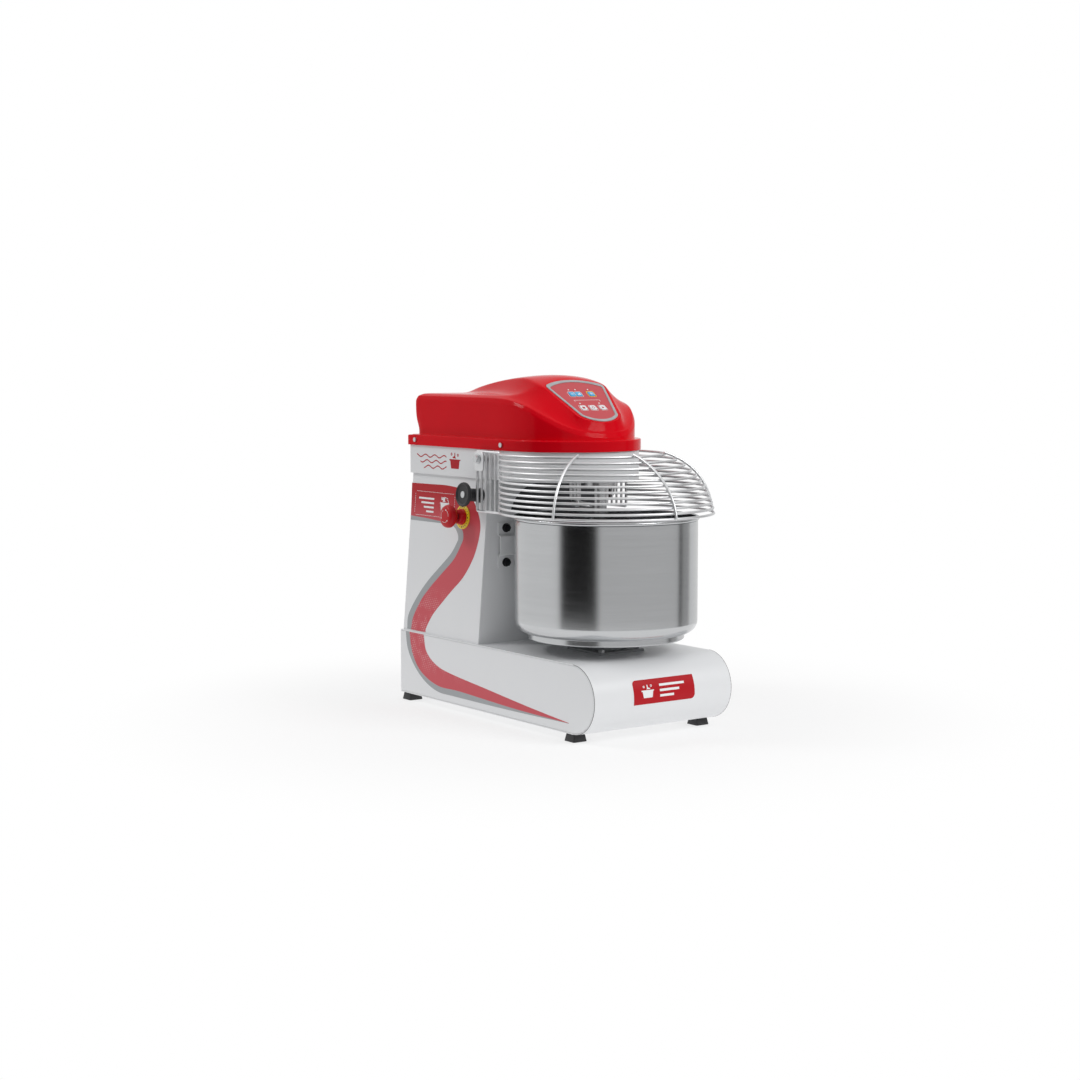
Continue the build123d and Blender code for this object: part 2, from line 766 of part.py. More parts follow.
def guard_frame(side):
    """Side frame: rod loop, upright bars and the pivot lug."""
    loop = guard_loop(side)
    bars = []
    pitch = frame_length / (frame_bars + 1)
    for step in range(1, frame_bars + 1):
        y = frame_front + step * pitch
        top = frame_z1 if abs(y - pivot_y) > 10 else pivot_z - 8
        bars.append(post(side * guard_half, y, frame_z0, top, wire_radius) - loop)
    lug = extrude(lug_plane(side) * Pos(-4.5 * side, -2) * RectangleRounded(34, 28, 4), lug_plate)
    lug -= on(lug_plane(side), 0, lug_plate, pivot_radius + run_gap)
    return [loop] + bars + [lug]


def guard_wires():
    """Level arc wires that butt against the front rods of the two side frames."""
    wires = []
    for z in wire_heights():
        centre, radius = wire_circle(z)
        angle = atan2(frame_front - centre, guard_half) - 2 * asin(frame_rod / radius / 2)
        x, y = radius * cos(angle), centre + radius * sin(angle)
        path = ThreePointArc((-x, y, z), (0, centre - radius, z), (x, y, z))
        wires.append(sweep(Plane(path @ 0, z_dir=path % 0) * Circle(wire_radius), path=path))
    return wires


def guard_rib(bearing):
    """Upright rib lying on the outside of the arc wires, in a plane through the bowl axis."""
    heights = wire_heights()
    heading = Vector(cos(radians(bearing)), sin(radians(bearing)), 0)
    reaches = []
    for z in heights:
        centre, radius = wire_circle(z)
        along = heading.Y * (bowl_y - centre)
        reaches.append(-along + sqrt(along ** 2 - (bowl_y - centre) ** 2 + radius ** 2))
    points = []
    for step, z in enumerate(heights):
        low, high = max(step - 1, 0), min(step + 1, wire_count - 1)
        rise = Vector(reaches[high] - reaches[low], heights[high] - heights[low], 0).normalized()
        out = 2 * wire_radius + contact_gap
        reach = reaches[step] + rise.Y * out
        points.append(Vector(0, bowl_y, 0) + heading * reach + Vector(0, 0, z - rise.X * out))
    path = Spline(*points)
    return sweep(Plane(path @ 0, z_dir=path % 0) * Circle(wire_radius), path=path)


def pivot_plane(side):
    """Place of a guard pivot on the head's side, pointing outwards."""
    return Plane((side * head_half, pivot_y, pivot_z), x_dir=(0, 1, 0), z_dir=(side, 0, 0))


pivot_stack = guard_half + frame_rod - head_half  # casing side to the lug's inner face


def pivot_spacer(side):
    """Spacer between the casing and the lug, and the washer outside the lug."""
    spot = pivot_plane(side)
    bore = pivot_radius + hole_gap
    bush = on(spot, 0, pivot_stack - move_gap, 5.5, bore)
    outside = pivot_stack + lug_plate + move_gap
    return bush, on(spot, outside, outside + 1.5, 9, bore)


def pivot_bolt(side):
    """Shoulder bolt of the guard's pivot and the nut inside the head."""
    spot = pivot_plane(side)
    head_at = pivot_stack + lug_plate + move_gap + 1.5
    screw = hexagon(spot, head_at, head_at + 5, 7) + on(spot, -12, head_at, pivot_radius)
    nut = hexagon(spot, -head_sheet - 6, -head_sheet, 7.5)
    return screw, nut - on(spot, -head_sheet - 6, -head_sheet, pivot_radius)


# ---- bowl -----------------------------------------------------------------------------------------------------------
bowl_shaft = 12.5
hub_radius = 108.0
housing_flange = 4.0
housing_top = ring_z - 6.0
bowl_bearing = 26.0
bowl_screw_places = [(45 * cos(radians(a)), bowl_y + 45 * sin(radians(a))) for a in (45, 135, 225, 315)]


def bowl():
    """Straight-sided pan with a rounded floor corner and a rolled rim."""
    outer = bowl_radius
    inner = bowl_inner
    corner = bowl_corner
    floor_z = bowl_z
    turn = 1 - 1 / sqrt(2)
    outside = Line((0, floor_z), (outer - corner, floor_z))
    bend = ThreePointArc((outer - corner, floor_z), (outer - corner * turn, floor_z + corner * turn),
                         (outer, floor_z + corner))
    side = Polyline((outer, floor_z + corner), (outer, rim_z - bowl_bead), (inner, rim_z - bowl_bead),
                    (inner, floor_z + corner))
    inside_r = corner - bowl_wall
    back = ThreePointArc((inner, floor_z + corner),
                         (inner - inside_r * turn, bowl_floor + inside_r * turn),
                         (outer - corner, bowl_floor))
    close = Polyline((outer - corner, bowl_floor), (0, bowl_floor), (0, floor_z))
    face = Plane.XZ * make_face([outside, bend, side, back, close])
    pan = revolve(face, Axis.Z)
    bead = Pos(0, 0, rim_z - bowl_bead) * Torus(outer - bowl_bead, bowl_bead)
    pan = Pos(0, bowl_y, 0) * (pan + bead)
    for x, y in bowl_screw_places:
        pan -= post(x, y, bowl_z, bowl_floor, hex_shank + hole_gap)
    return pan


def bowl_base_ring():
    """Raised ring under the pan."""
    body = post(0, bowl_y, ring_z, bowl_z, ring_radius, hub_radius)
    outer = body.edges().filter_by(GeomType.CIRCLE).group_by(Axis.Z)[0].sort_by(SortBy.RADIUS)[-1]
    return fillet(outer, 2)


def bowl_hub():
    """Hub plate in the ring, with the shaft that the bowl turns on."""
    plate = post(0, bowl_y, bowl_z - 6, bowl_z, hub_radius)
    plate += post(0, bowl_y, ring_z - 5, bowl_z - 6, 34)
    plate += post(0, bowl_y, bowl_pulley_z - 6, ring_z - 5, bowl_shaft)
    for x, y in bowl_screw_places:
        plate -= post(x, y, bowl_z - 6, bowl_z, hex_shank)
    return plate


def bowl_screws():
    """Dome screws that hold the pan on its hub."""
    screws = []
    for x, y in bowl_screw_places:
        spot = Plane((x, y, bowl_floor))
        screws.append(on(spot, 0, 2.5, 6) + on(spot, -bowl_wall - 6, 0, hex_shank))
    return screws


def bowl_housing():
    """Bearing housing: square block and flange on the base, round spigot inside it."""
    at = (0, bowl_y)
    body = block(-48, 48, bowl_y - 48, bowl_y + 48, base_top, base_top + housing_flange)
    body += block(-25, 25, bowl_y - 27, bowl_y + 27, base_top, housing_top)
    body += post(*at, base_top, housing_top, 30)
    body += post(*at, housing_low, base_top, housing_radius)
    body -= post(*at, housing_low, housing_top, bowl_bearing - 4)
    for z in bowl_bearing_heights():
        body -= post(*at, z, z + bearing_tall, bowl_bearing + hole_gap)
    for x, y in housing_bolt_places():
        body -= post(x, y, base_top, base_top + housing_flange, hex_shank + hole_gap)
    return body


def bowl_bearing_heights():
    """Lower ends of the two bowl bearings."""
    return housing_low, housing_top - bearing_tall


def bowl_drive_wheel():
    """Large belt pulley under the bowl, lightened by round holes."""
    wheel = pulley(bowl_y, bowl_pulley_z, bowl_pulley, bowl_shaft)
    for step in range(6):
        a = radians(60 * step)
        wheel -= post(50 * cos(a), bowl_y + 50 * sin(a), bowl_pulley_z, bowl_pulley_z + 40, 16)
    return wheel


# ---- spiral ----------------------------------------------------------------------------------------------------------
hook_low = bowl_floor + hook_floor_gap + hook_rod
hook_high = column_top - 52.0
hook_turns = 1.5
hook_steps = 10  # corners of the hook's path in one turn
hook_tip = 5.0  # rounding of the hook's free end


def spiral_hook():
    """Spindle with the spiral bent from round bar."""
    coil = hook_radius - hook_rod
    count = round(hook_turns * hook_steps)
    start = radians(-25)
    points = [Vector(0, spindle_y, hook_high + 36), Vector(0, spindle_y, hook_high + 14)]
    for step in range(count + 1):
        share = step / count
        angle = start - 2 * radians(180) * hook_turns * share
        z = hook_high - (hook_high - hook_low) * share
        points.append(Vector(coil * cos(angle), spindle_y + coil * sin(angle), z))
    end = start - 2 * radians(180) * (hook_turns + 0.12)
    points.append(Vector(0.35 * coil * cos(end), spindle_y + 0.35 * coil * sin(end), hook_low))
    radii = []
    for before, here, after in zip(points, points[1:], points[2:]):
        turn = radians((here - before).get_angle(after - here))
        radii.append(0.45 * min((here - before).length, (after - here).length) / tan(turn / 2))
    path = FilletPolyline(*points, radius=radii)
    bar = sweep(Plane(path @ 0, z_dir=path % 0) * Circle(hook_rod), path=path)
    end_face = bar.faces().filter_by(GeomType.PLANE).sort_by_distance(points[-1])[0]
    bar = fillet(end_face.edges(), hook_tip)
    shaft = post(0, spindle_y, hook_high + 20, spindle_pulley_z + 30, spindle_radius)
    return shaft + bar


def spindle_housing():
    """Flanged tube on the head plate that holds the spindle's bearings."""
    at = (0, spindle_y)
    body = post(*at, column_top, spindle_top, spindle_tube) + post(*at, plate_top, plate_top + 5, 44)
    body -= post(*at, column_top, spindle_top, bearing_outer - 3)
    for z in spindle_bearing_heights():
        body -= post(*at, z, z + bearing_tall, bearing_outer + hole_gap)
    for x, y in spindle_bolt_places():
        body -= post(x, y, plate_top, plate_top + 5, hex_shank + hole_gap)
    return body


spindle_top = casing_top + 2.0


def spindle_bearing_heights():
    """Lower ends of the two spindle bearings."""
    return column_top + 3, spindle_top - bearing_tall


def spindle_seal():
    """Rubber lip ring that keeps flour out of the lower bearing."""
    return post(0, spindle_y, column_top - 4, column_top, spindle_tube - 3, spindle_radius + move_gap)


def breaker_bar():
    """Fixed upright bar beside the spiral, flanged to the head."""
    low = bowl_floor + bar_floor_gap
    bar = post(0, bar_y, low, column_top - bar_flange, bar_radius)
    bar = fillet(bar.edges().sort_by(Axis.Z)[0], bar_radius * 0.6)
    bar += post(0, bar_y, column_top - bar_flange, column_top, 28)
    for x, y in bar_bolt_places():
        bar -= post(x, y, column_top - bar_flange, column_top, hex_shank + hole_gap)
    return bar


# ---- drive -----------------------------------------------------------------------------------------------------------
def drive_shaft():
    """Gear motor's output shaft, running from the base up into the head."""
    return post(0, drive_y, lower_bearing_z - 4, spindle_pulley_z + 30, shaft_radius)


lower_bearing_z = chassis_z + chassis_sheet + 8


def bearings():
    """Bearing rings of the bowl, the spindle and the drive shaft, two of each."""
    rings = [post(0, bowl_y, z, z + bearing_tall, bowl_bearing, bowl_shaft + run_gap)
             for z in bowl_bearing_heights()]
    rings += [post(0, spindle_y, z, z + bearing_tall, bearing_outer, spindle_radius + run_gap)
              for z in spindle_bearing_heights()]
    return rings + [post(0, drive_y, z, z + bearing_tall, bearing_outer, shaft_radius + run_gap)
                    for z in (lower_bearing_z, column_top - 4)]


def lower_bearing_block():
    """Block on the chassis that holds the drive shaft's foot."""
    z = chassis_z + chassis_sheet
    body = block(-32, 32, drive_y - 32, drive_y + 32, z, lower_bearing_z + bearing_tall)
    body -= post(0, drive_y, lower_bearing_z, lower_bearing_z + bearing_tall, bearing_outer + hole_gap)
    return body - post(0, drive_y, z, lower_bearing_z, shaft_radius + 3)


def motor_shelf():
    """Folded shelf inside the column that the gear motor hangs from."""
    lip_top = gear_top + 30
    half = wall_half(lip_top) - column_sheet - 1
    front = column_front + column_sheet
    shelf = block(-half, half, front, drive_y + 70, gear_top, gear_top + shelf_thick)
    shelf += block(-half, half, front, front + 4, gear_top, lip_top)
    return shelf - post(0, drive_y, gear_top, gear_top + shelf_thick, shaft_radius + 4)


def gear_head():
    """Gearbox between the motor and the shelf."""
    z0 = gear_top - gear_length
    body = post(0, drive_y, z0, gear_top - 8, motor_radius - 8)
    body += block(-52, 52, drive_y - 52, drive_y + 52, gear_top - 8, gear_top)
    return body - post(0, drive_y, z0, gear_top, shaft_radius + move_gap)


def motor_body():
    """Motor with upright cooling fins and an end cap."""
    z1 = gear_top - gear_length
    z0 = z1 - motor_length
    body = post(0, drive_y, z0, z1, motor_radius - 6)
    for step in range(24):
        fin = block(motor_radius - 7, motor_radius, -1, 1, z0 + 12, z1 - 4)
        body += Pos(0, drive_y, 0) * (Rot(0, 0, 15 * step) * fin)
    return body - post(0, drive_y, z0, z1, shaft_radius + move_gap)


def control_box():
    """Electrical box on the inside of the rear cover."""
    y0 = drive_y + motor_radius + 12
    y1 = column_rear - cover_sheet
    return block(-70, 70, y0, y1, base_top + 60, base_top + 170)


# ---- build -----------------------------------------------------------------------------------------------------------
def main():
    """Write every sub-part."""
    os.makedirs("parts", exist_ok=True)
    sides = (-1, 1)
    save("base_wrap", base_wrap())
    save("base_side_left", base_side(-1))
    save("base_side_right", base_side(1))
    save("base_rear_panel", base_rear_panel())
    save("base_chassis", base_chassis())
    save("rubber_feet", *[rubber_foot(x, y) for x, y in foot_places])
    save("foot_fasteners", *[piece for x, y in foot_places for piece in foot_fastener(x, y)])

    save("column_shell", column_shell())
    save("column_rear_cover", column_rear_cover())
    save("front_brackets", *[front_bracket(side) for side in sides])
    save("bracket_bolts", *[bracket_bolt(side, z) for side in sides for z in bracket_bolt_heights()])
    save("guard_bumpers", *[bumper(side) for side in sides])
    save("cable_gland", *cable_gland())
    save("pan_screws", *pan_screws())
    save("hex_bolts", *hex_bolts())

    save("head_casing", head_casing())
    save("head_floor", head_floor())
    save("top_cover", top_cover())
    save("panel_bezel", panel_bezel())
    save("panel_membrane", panel_membrane())
    for name, (u, v) in key_places.items():
        save(name, key(u, v))
    save("panel_lights", *panel_lights())
    save("panel_board", panel_board())

    save("estop_ring", estop_ring())
    save("estop_collar", estop_collar())
    save("estop_stem", estop_stem())
    save("estop_cap", estop_cap())
    save("estop_contacts", estop_contacts())

    save("guard_frame_left", *guard_frame(-1))
    save("guard_frame_right", *guard_frame(1))
    save("guard_wires", *guard_wires())
    save("guard_ribs", *[guard_rib(bearing) for bearing in (-155, -90, -25)])
    save("guard_pivots", *[piece for side in sides for piece in pivot_bolt(side) + pivot_spacer(side)])

    save("bowl", bowl())
    save("bowl_base_ring", bowl_base_ring())
    save("bowl_hub", bowl_hub())
    save("bowl_screws", *bowl_screws())
    save("bowl_housing", bowl_housing())
    save("bowl_pulley", bowl_drive_wheel())
    save("bowl_belt", belt(bowl_y, bowl_pulley, drive_y, small_pulley, bowl_pulley_z))

    save("spiral_hook", spiral_hook())
    save("spiral_pulley", pulley(spindle_y, spindle_pulley_z, head_pulley, spindle_radius))
    save("spindle_housing", spindle_housing())
    save("spindle_seal", spindle_seal())
    save("spiral_belt", belt(spindle_y, head_pulley, drive_y, head_pulley, spindle_pulley_z))
    save("breaker_bar", breaker_bar())

    save("drive_shaft", drive_shaft())
    save("drive_pulleys", pulley(drive_y, spindle_pulley_z, head_pulley, shaft_radius),
         pulley(drive_y, bowl_pulley_z, small_pulley, shaft_radius))
    save("bearings", *bearings())
    save("lower_bearing_block", lower_bearing_block())
    save("motor_shelf", motor_shelf())
    save("gear_head", gear_head())
    save("motor_body", motor_body())
    save("control_box", control_box())


main()
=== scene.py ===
"""Looks of a bench spiral dough mixer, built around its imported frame.

Metres, +Z up, the nose of the base points to -Y. Sizes in the code are written in millimetres
and turned into metres by mm(). The sidebar panel has one operator for each group of pieces.
"""
import json
from math import atan2, cos, pi, radians, sin, sqrt

import bmesh
import bpy
from bpy.props import FloatProperty, FloatVectorProperty, IntProperty, PointerProperty
from mathutils import Matrix, Vector


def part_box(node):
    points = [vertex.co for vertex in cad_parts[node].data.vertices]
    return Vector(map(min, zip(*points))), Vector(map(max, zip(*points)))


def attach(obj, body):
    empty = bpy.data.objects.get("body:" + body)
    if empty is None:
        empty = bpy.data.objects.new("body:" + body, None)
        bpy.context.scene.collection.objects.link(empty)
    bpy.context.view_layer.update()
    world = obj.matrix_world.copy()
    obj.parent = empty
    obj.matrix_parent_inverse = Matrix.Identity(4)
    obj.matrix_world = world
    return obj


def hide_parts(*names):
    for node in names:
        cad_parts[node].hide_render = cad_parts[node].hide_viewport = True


bl_info = {
    "name": "Spiral dough mixer",
    "version": (1, 0, 0),
    "blender": (4, 5, 0),
    "location": "View3D > Sidebar > Mixer",
    "description": "Builds the looks of a bench spiral dough mixer around its frame",
    "category": "Add Mesh",
}

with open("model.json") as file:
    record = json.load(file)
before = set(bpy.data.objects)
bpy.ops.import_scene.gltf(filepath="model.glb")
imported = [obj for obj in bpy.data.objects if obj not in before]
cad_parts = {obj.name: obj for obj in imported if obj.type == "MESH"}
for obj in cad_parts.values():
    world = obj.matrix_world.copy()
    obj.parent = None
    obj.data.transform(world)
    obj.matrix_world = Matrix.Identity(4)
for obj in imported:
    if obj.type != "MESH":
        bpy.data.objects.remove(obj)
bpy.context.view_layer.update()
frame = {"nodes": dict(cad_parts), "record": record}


# ---- sizes ----
def mm(*values):
    """Millimetres as metres: one number, or a vector of several."""
    return values[0] * 0.001 if len(values) == 1 else Vector(values) * 0.001


def middle(node):
    """Centre of a CAD node's box, in metres."""
    low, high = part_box(node)
    return (low + high) / 2


BOWL_AXIS = middle("bowl")
GUARD_HALF = mm(140.25)  # centre line of the side frames from the middle
SPINDLE = middle("spindle_housing")
NOSE_Y, NOSE_Z, NOSE_RADIUS = -231.5, 73.1, 59.2  # level cylinder of the base's nose
HEAD_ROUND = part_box("head_casing")[0].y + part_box("head_casing")[1].x
PANEL_SLOPE = radians(34.5)
PANEL_TOP = mm(0, -33.1, 593)
PANEL = Matrix.Translation(PANEL_TOP) @ Matrix.Rotation(PANEL_SLOPE, 4, "X")
COLUMN_FOOT, COLUMN_TOP = mm(132.3), mm(427.3)
BASE_HALF, COLUMN_HALF = mm(148.75), mm(145)
COLUMN_LEAN = (COLUMN_HALF - mm(121.5)) / (COLUMN_TOP - COLUMN_FOOT)


def length(name, text, value):
    return FloatProperty(name=name, description=text, default=mm(value), unit="LENGTH", precision=4)


def tint(name, text, *value):
    return FloatVectorProperty(name=name, description=text, default=value, subtype="COLOR", size=3,
                               min=0, max=1)


class MixerColours(bpy.types.PropertyGroup):
    """Colours of the mixer's finishes."""
    paint: tint("Paint", "White powder coat of the base, column and head", 0.79, 0.80, 0.815)
    cover: tint("Cover", "Red of the moulded top cover", 0.70, 0.0022, 0.010)
    vinyl: tint("Vinyl", "Red of the stuck-on stripes and badges", 0.46, 0.010, 0.017)
    stripe: tint("Grey stripe", "Grey edge of the side stripes", 0.34, 0.355, 0.37)
    steel: tint("Steel", "Brushed steel of the bowl", 0.56, 0.57, 0.58)
    wire: tint("Wire", "Plated wire of the guard", 0.74, 0.745, 0.755)
    membrane: tint("Membrane", "Red of the control panel", 0.56, 0.055, 0.068)
    ring: tint("Stop ring", "Yellow of the emergency stop's disc", 0.86, 0.68, 0.02)


class MixerCover(bpy.types.PropertyGroup):
    """Sizes of the moulded top cover."""
    rim_half: length("Rim half width", "Half the width over the rim", 131)
    rim_rear: length("Rim rear", "Rear face of the rim along Y", 313.2)
    rim_low: length("Rim low", "Lower edge of the rim", 480)
    rim_top: length("Rim top", "Ledge on top of the rim", 499.5)
    wall_half: length("Wall half width", "Half the width over the upright wall", 120)
    wall_rear: length("Wall rear", "Rear face of the upright wall along Y", 302.2)
    deck: length("Deck", "Height of the flat rear deck", 576)
    skin: length("Skin", "Thickness of the moulding", 2.6)


class MixerGuard(bpy.types.PropertyGroup):
    """Sizes of the wire guard."""
    wire: length("Wire", "Radius of the level wires", 2.25)
    rod: length("Rod", "Radius of the side frames' rod", 2.5)
    corner: length("Corner", "Bend of the side frames", 7.5)
    pitch: length("Pitch", "Distance between level wires", 9)
    count: IntProperty(name="Wires", description="Number of level wires", default=12, min=2, max=20)
    reach: length("Reach", "Radius of the guard's dome at its foot", 188.5)
    height: length("Height", "Height of the guard's dome", 121)


class MixerBowl(bpy.types.PropertyGroup):
    """Sizes of the bowl and the hook."""
    radius: length("Bowl radius", "Outer radius of the bowl", 160)
    wall: length("Wall", "Thickness of the bowl", 1.5)
    corner: length("Corner", "Outer bend between floor and side", 22)
    bead: length("Bead", "Radius of the rolled rim", 3)
    coil: length("Coil", "Radius of the hook's centre line", 52)
    bar: length("Bar", "Radius of the hook's bar", 8)


# ---- shader graphs ----
class Signal:
    """A shader socket that takes part in sums like a number."""

    def __init__(self, graph, socket):
        self.graph, self.socket = graph, socket

    def maths(self, operation, *values, **settings):
        node = self.graph.node("Math", dict(enumerate(values)), operation=operation, **settings)
        return Signal(self.graph, node.outputs[0])

    def __add__(self, other):
        return self.maths("ADD", self, other)

    def __sub__(self, other):
        return self.maths("SUBTRACT", self, other)

    def __rsub__(self, other):
        return self.maths("SUBTRACT", other, self)

    def __mul__(self, other):
        return self.maths("MULTIPLY", self, other)

    def __truediv__(self, other):
        return self.maths("DIVIDE", self, other)

    def __pow__(self, other):
        return self.maths("POWER", self, other)

    def __gt__(self, other):
        return self.maths("GREATER_THAN", self, other)

    def __lt__(self, other):
        return self.maths("LESS_THAN", self, other)

    def __abs__(self):
        return self.maths("ABSOLUTE", self)

    __radd__, __rmul__ = __add__, __mul__

    def wrap(self, period):
        """Position within one period, from 0 to 1."""
        return (self / period).maths("FRACT", self / period)

    def ease(self, low, high):
        """0 below low, 1 above high, and smooth between them."""
        node = self.graph.node("MapRange", {"Value": self, "From Min": low, "From Max": high},
                               interpolation_type="SMOOTHSTEP")
        return Signal(self.graph, node.outputs["Result"])


class Graph:
    """Node tree of a material or of the world."""

    def __init__(self, tree):
        self.tree = tree
        tree.nodes.clear()

    def node(self, kind, sockets=None, stops=None, **settings):
        """Adds a node: its settings and ramp stops first, then its sockets' values or links."""
        made = self.tree.nodes.new("ShaderNode" + kind)
        for name, value in settings.items():
            setattr(made, name, value)
        if stops:
            ramp = made.color_ramp.elements
            while len(ramp) < len(stops):
                ramp.new(1)
            for stop, (place, value) in zip(ramp, stops):
                stop.position, stop.color = place, (*value, 1)
        for name, value in (sockets or {}).items():
            socket = made.inputs[name]
            if isinstance(value, Signal):
                self.tree.links.new(value.socket, socket)
            elif socket.type == "RGBA" and len(value) == 3:
                socket.default_value = (*value, 1)
            else:
                socket.default_value = value
        return made

    def out(self, kind, sockets=None, output=0, **settings):
        """Adds a node and returns one of its outputs as a signal."""
        return Signal(self, self.node(kind, sockets, **settings).outputs[output])

    def mix(self, factor, first, second):
        """Colour between two colours."""
        node = self.node("Mix", data_type="RGBA")
        for index, value in ((0, factor), (6, first), (7, second)):
            socket = node.inputs[index]
            if isinstance(value, Signal):
                self.tree.links.new(value.socket, socket)
            else:
                socket.default_value = (*value, 1) if index else value
        return Signal(self, node.outputs[2])

    def axes(self, vector):
        """The three parts of a vector as signals."""
        node = self.node("SeparateXYZ", {"Vector": vector})
        return [Signal(self, node.outputs[index]) for index in range(3)]


class Finish(Graph):
    """A surface material around one Principled shader, patterned in object space."""

    def __init__(self, name, colour, rough, metal=0.0, **fixed):
        self.material = bpy.data.materials.new(name)
        self.material.use_nodes = True
        super().__init__(self.material.node_tree)
        self.colour, self.rough = tuple(colour), rough
        sockets = {"Base Color": self.colour, "Roughness": rough, "Metallic": metal}
        sockets.update({name.replace("_", " ").title(): value for name, value in fixed.items()})
        self.shader = self.node("BsdfPrincipled", sockets)
        surface = Signal(self, self.shader.outputs[0])
        self.node("OutputMaterial", {"Surface": surface})
        self.place = self.out("TexCoord", output=3)
        self.x, self.y, self.z = self.axes(self.place)

    def link(self, name, signal):
        self.tree.links.new(signal.socket, self.shader.inputs[name])

    def grain(self, size, stretch=(1, 1, 1), detail=2.0, **settings):
        """Cloudy noise with features of about that size in metres."""
        vector = self.out("Mapping", {"Vector": self.place, "Scale": Vector(stretch) / size})
        return self.out("TexNoise", {"Vector": vector, "Scale": 1.0, "Detail": detail}, **settings)

    def vary_colour(self, signal, low=0.9, high=1.06):
        """Lets the base colour drift between a darker and a lighter one."""
        dark = [min(1, part * low) for part in self.colour]
        light = [min(1, part * high) for part in self.colour]
        drift = self.mix(signal, dark, light)
        self.link("Base Color", drift)
        return drift

    def vary_rough(self, signal, spread):
        self.link("Roughness", signal * (2 * spread) + (self.rough - spread))

    def bump(self, height, depth, strength=1.0):
        """Relief of that depth in metres."""
        self.link("Normal", self.out("Bump", {"Height": height, "Distance": depth,
                                              "Strength": strength}))


def powder_coat(name, colour, rough=0.38):
    """Even paint with a faint orange-peel skin."""
    made = Finish(name, colour, rough, coat_weight=0.15, coat_roughness=0.25)
    made.vary_colour(made.grain(0.09, detail=3), 0.985, 1.01)
    made.vary_rough(made.grain(0.02), 0.04)
    made.bump(made.grain(0.0011), 0.00002, 0.5)
    return made


def gloss_plastic(name, colour, rough=0.2, coat=0.6, sheen=0.5):
    """Moulded gloss plastic with a slight flow in its skin."""
    made = Finish(name, colour, rough, coat_weight=coat, coat_roughness=0.06)
    made.shader.inputs["Specular IOR Level"].default_value = sheen
    made.vary_colour(made.grain(0.06), 0.95, 1.04)
    made.vary_rough(made.grain(0.015), 0.04)
    made.bump(made.grain(0.006, detail=1), 0.00003, 0.35)
    return made


def matt_moulding(name, colour, rough=0.6, size=0.0008):
    """Rubber or textured plastic with a fine pebble."""
    made = Finish(name, colour, rough)
    made.vary_colour(made.grain(0.012, detail=3), 0.8, 1.35)
    made.vary_rough(made.grain(0.004), 0.08)
    made.bump(made.grain(size), 0.00008, 0.6)
    return made


def plated(name, colour, rough=0.3, size=0.003):
    """Plated or cast metal with cloudy variation."""
    made = Finish(name, colour, rough, 1.0)
    made.vary_colour(made.grain(size * 4, detail=3), 0.86, 1.06)
    made.vary_rough(made.grain(size), 0.07)
    made.bump(made.grain(size / 4), 0.00002, 0.5)
    return made


def brushed(name, colour, rough=0.3):
    """Steel brushed round the Z axis."""
    made = Finish(name, colour, rough, 1.0)
    round_z = (0.02, 0.02, 1)
    lines = made.grain(0.0012, round_z, detail=3)
    broad = made.grain(0.012, round_z, detail=2)
    made.vary_colour(lines * 0.5 + broad * 0.5, 0.90, 1.08)
    made.vary_rough(lines, 0.05)
    made.bump(lines, 0.000006, 0.25)
    return made


def make_finishes(colours):
    """Every material, by the name of its slot or of its own piece."""
    made = {
        "white_paint": powder_coat("white_paint", colours.paint),
        "zinc_steel": plated("zinc_steel", (0.62, 0.63, 0.64), 0.34),
        "black_rubber": matt_moulding("black_rubber", (0.018, 0.018, 0.02), 0.55),
        "black_steel": plated("black_steel", (0.06, 0.06, 0.065), 0.3),
        "black_plastic": matt_moulding("black_plastic", (0.02, 0.02, 0.022), 0.4, 0.0005),
        "grey_plastic": matt_moulding("grey_plastic", (0.36, 0.38, 0.39), 0.35, 0.0006),
        "red_plastic": gloss_plastic("red_plastic", colours.cover, 0.12, 0.02, 0.05),
        "white_plastic": gloss_plastic("white_plastic", (0.82, 0.84, 0.86), 0.3, 0.2),
        "blue_plastic": gloss_plastic("blue_plastic", (0.05, 0.42, 0.75), 0.3, 0.2),
        "yellow_plastic": gloss_plastic("yellow_plastic", colours.ring, 0.35, 0.2),
        "estop_red": gloss_plastic("estop_red", (0.52, 0.008, 0.014), 0.3, 0.05, 0.2),
        "bright_wire": plated("bright_wire", colours.wire, 0.42, 0.004),
        "stainless": brushed("stainless", colours.steel, 0.19),
        "hook_steel": brushed("hook_steel", (0.56, 0.565, 0.57), 0.2),
        "cast_housing": matt_moulding("cast_housing", (0.30, 0.31, 0.32), 0.5, 0.0015),
        "bearing_steel": brushed("bearing_steel", (0.6, 0.61, 0.62), 0.22),
        "alloy": brushed("alloy", (0.55, 0.56, 0.57), 0.34),
        "belt_rubber": matt_moulding("belt_rubber", (0.015, 0.015, 0.016), 0.7, 0.0012),
        "motor_paint": powder_coat("motor_paint", (0.05, 0.09, 0.15), 0.45),
        "board_green": matt_moulding("board_green", (0.01, 0.12, 0.04), 0.4),
        # Near-black metal of the dark plate of painted shade on the column's front
        "shield_grey": plated("shield_grey", (0.075, 0.076, 0.082), 0.36, 0.006),
        "print_white": gloss_plastic("print_white", (0.86, 0.87, 0.88), 0.35, 0.0),
        "print_black": matt_moulding("print_black", (0.02, 0.02, 0.02), 0.45),
        "print_red": gloss_plastic("print_red", colours.vinyl, 0.35, 0.0, 0.15),
    }
    panel = gloss_plastic("panel_red", colours.membrane, 0.3, 0.05, 0.25)
    lens = gloss_plastic("light_lens", (0.9, 0.88, 0.84), 0.2, 0.4)
    made.update(panel_red=panel, light_lens=lens, stripe_red=stripe_red(colours),
                stripe_grey=gloss_plastic("stripe_grey", colours.stripe, 0.35, 0.2))
    return {name: finish.material for name, finish in made.items()}


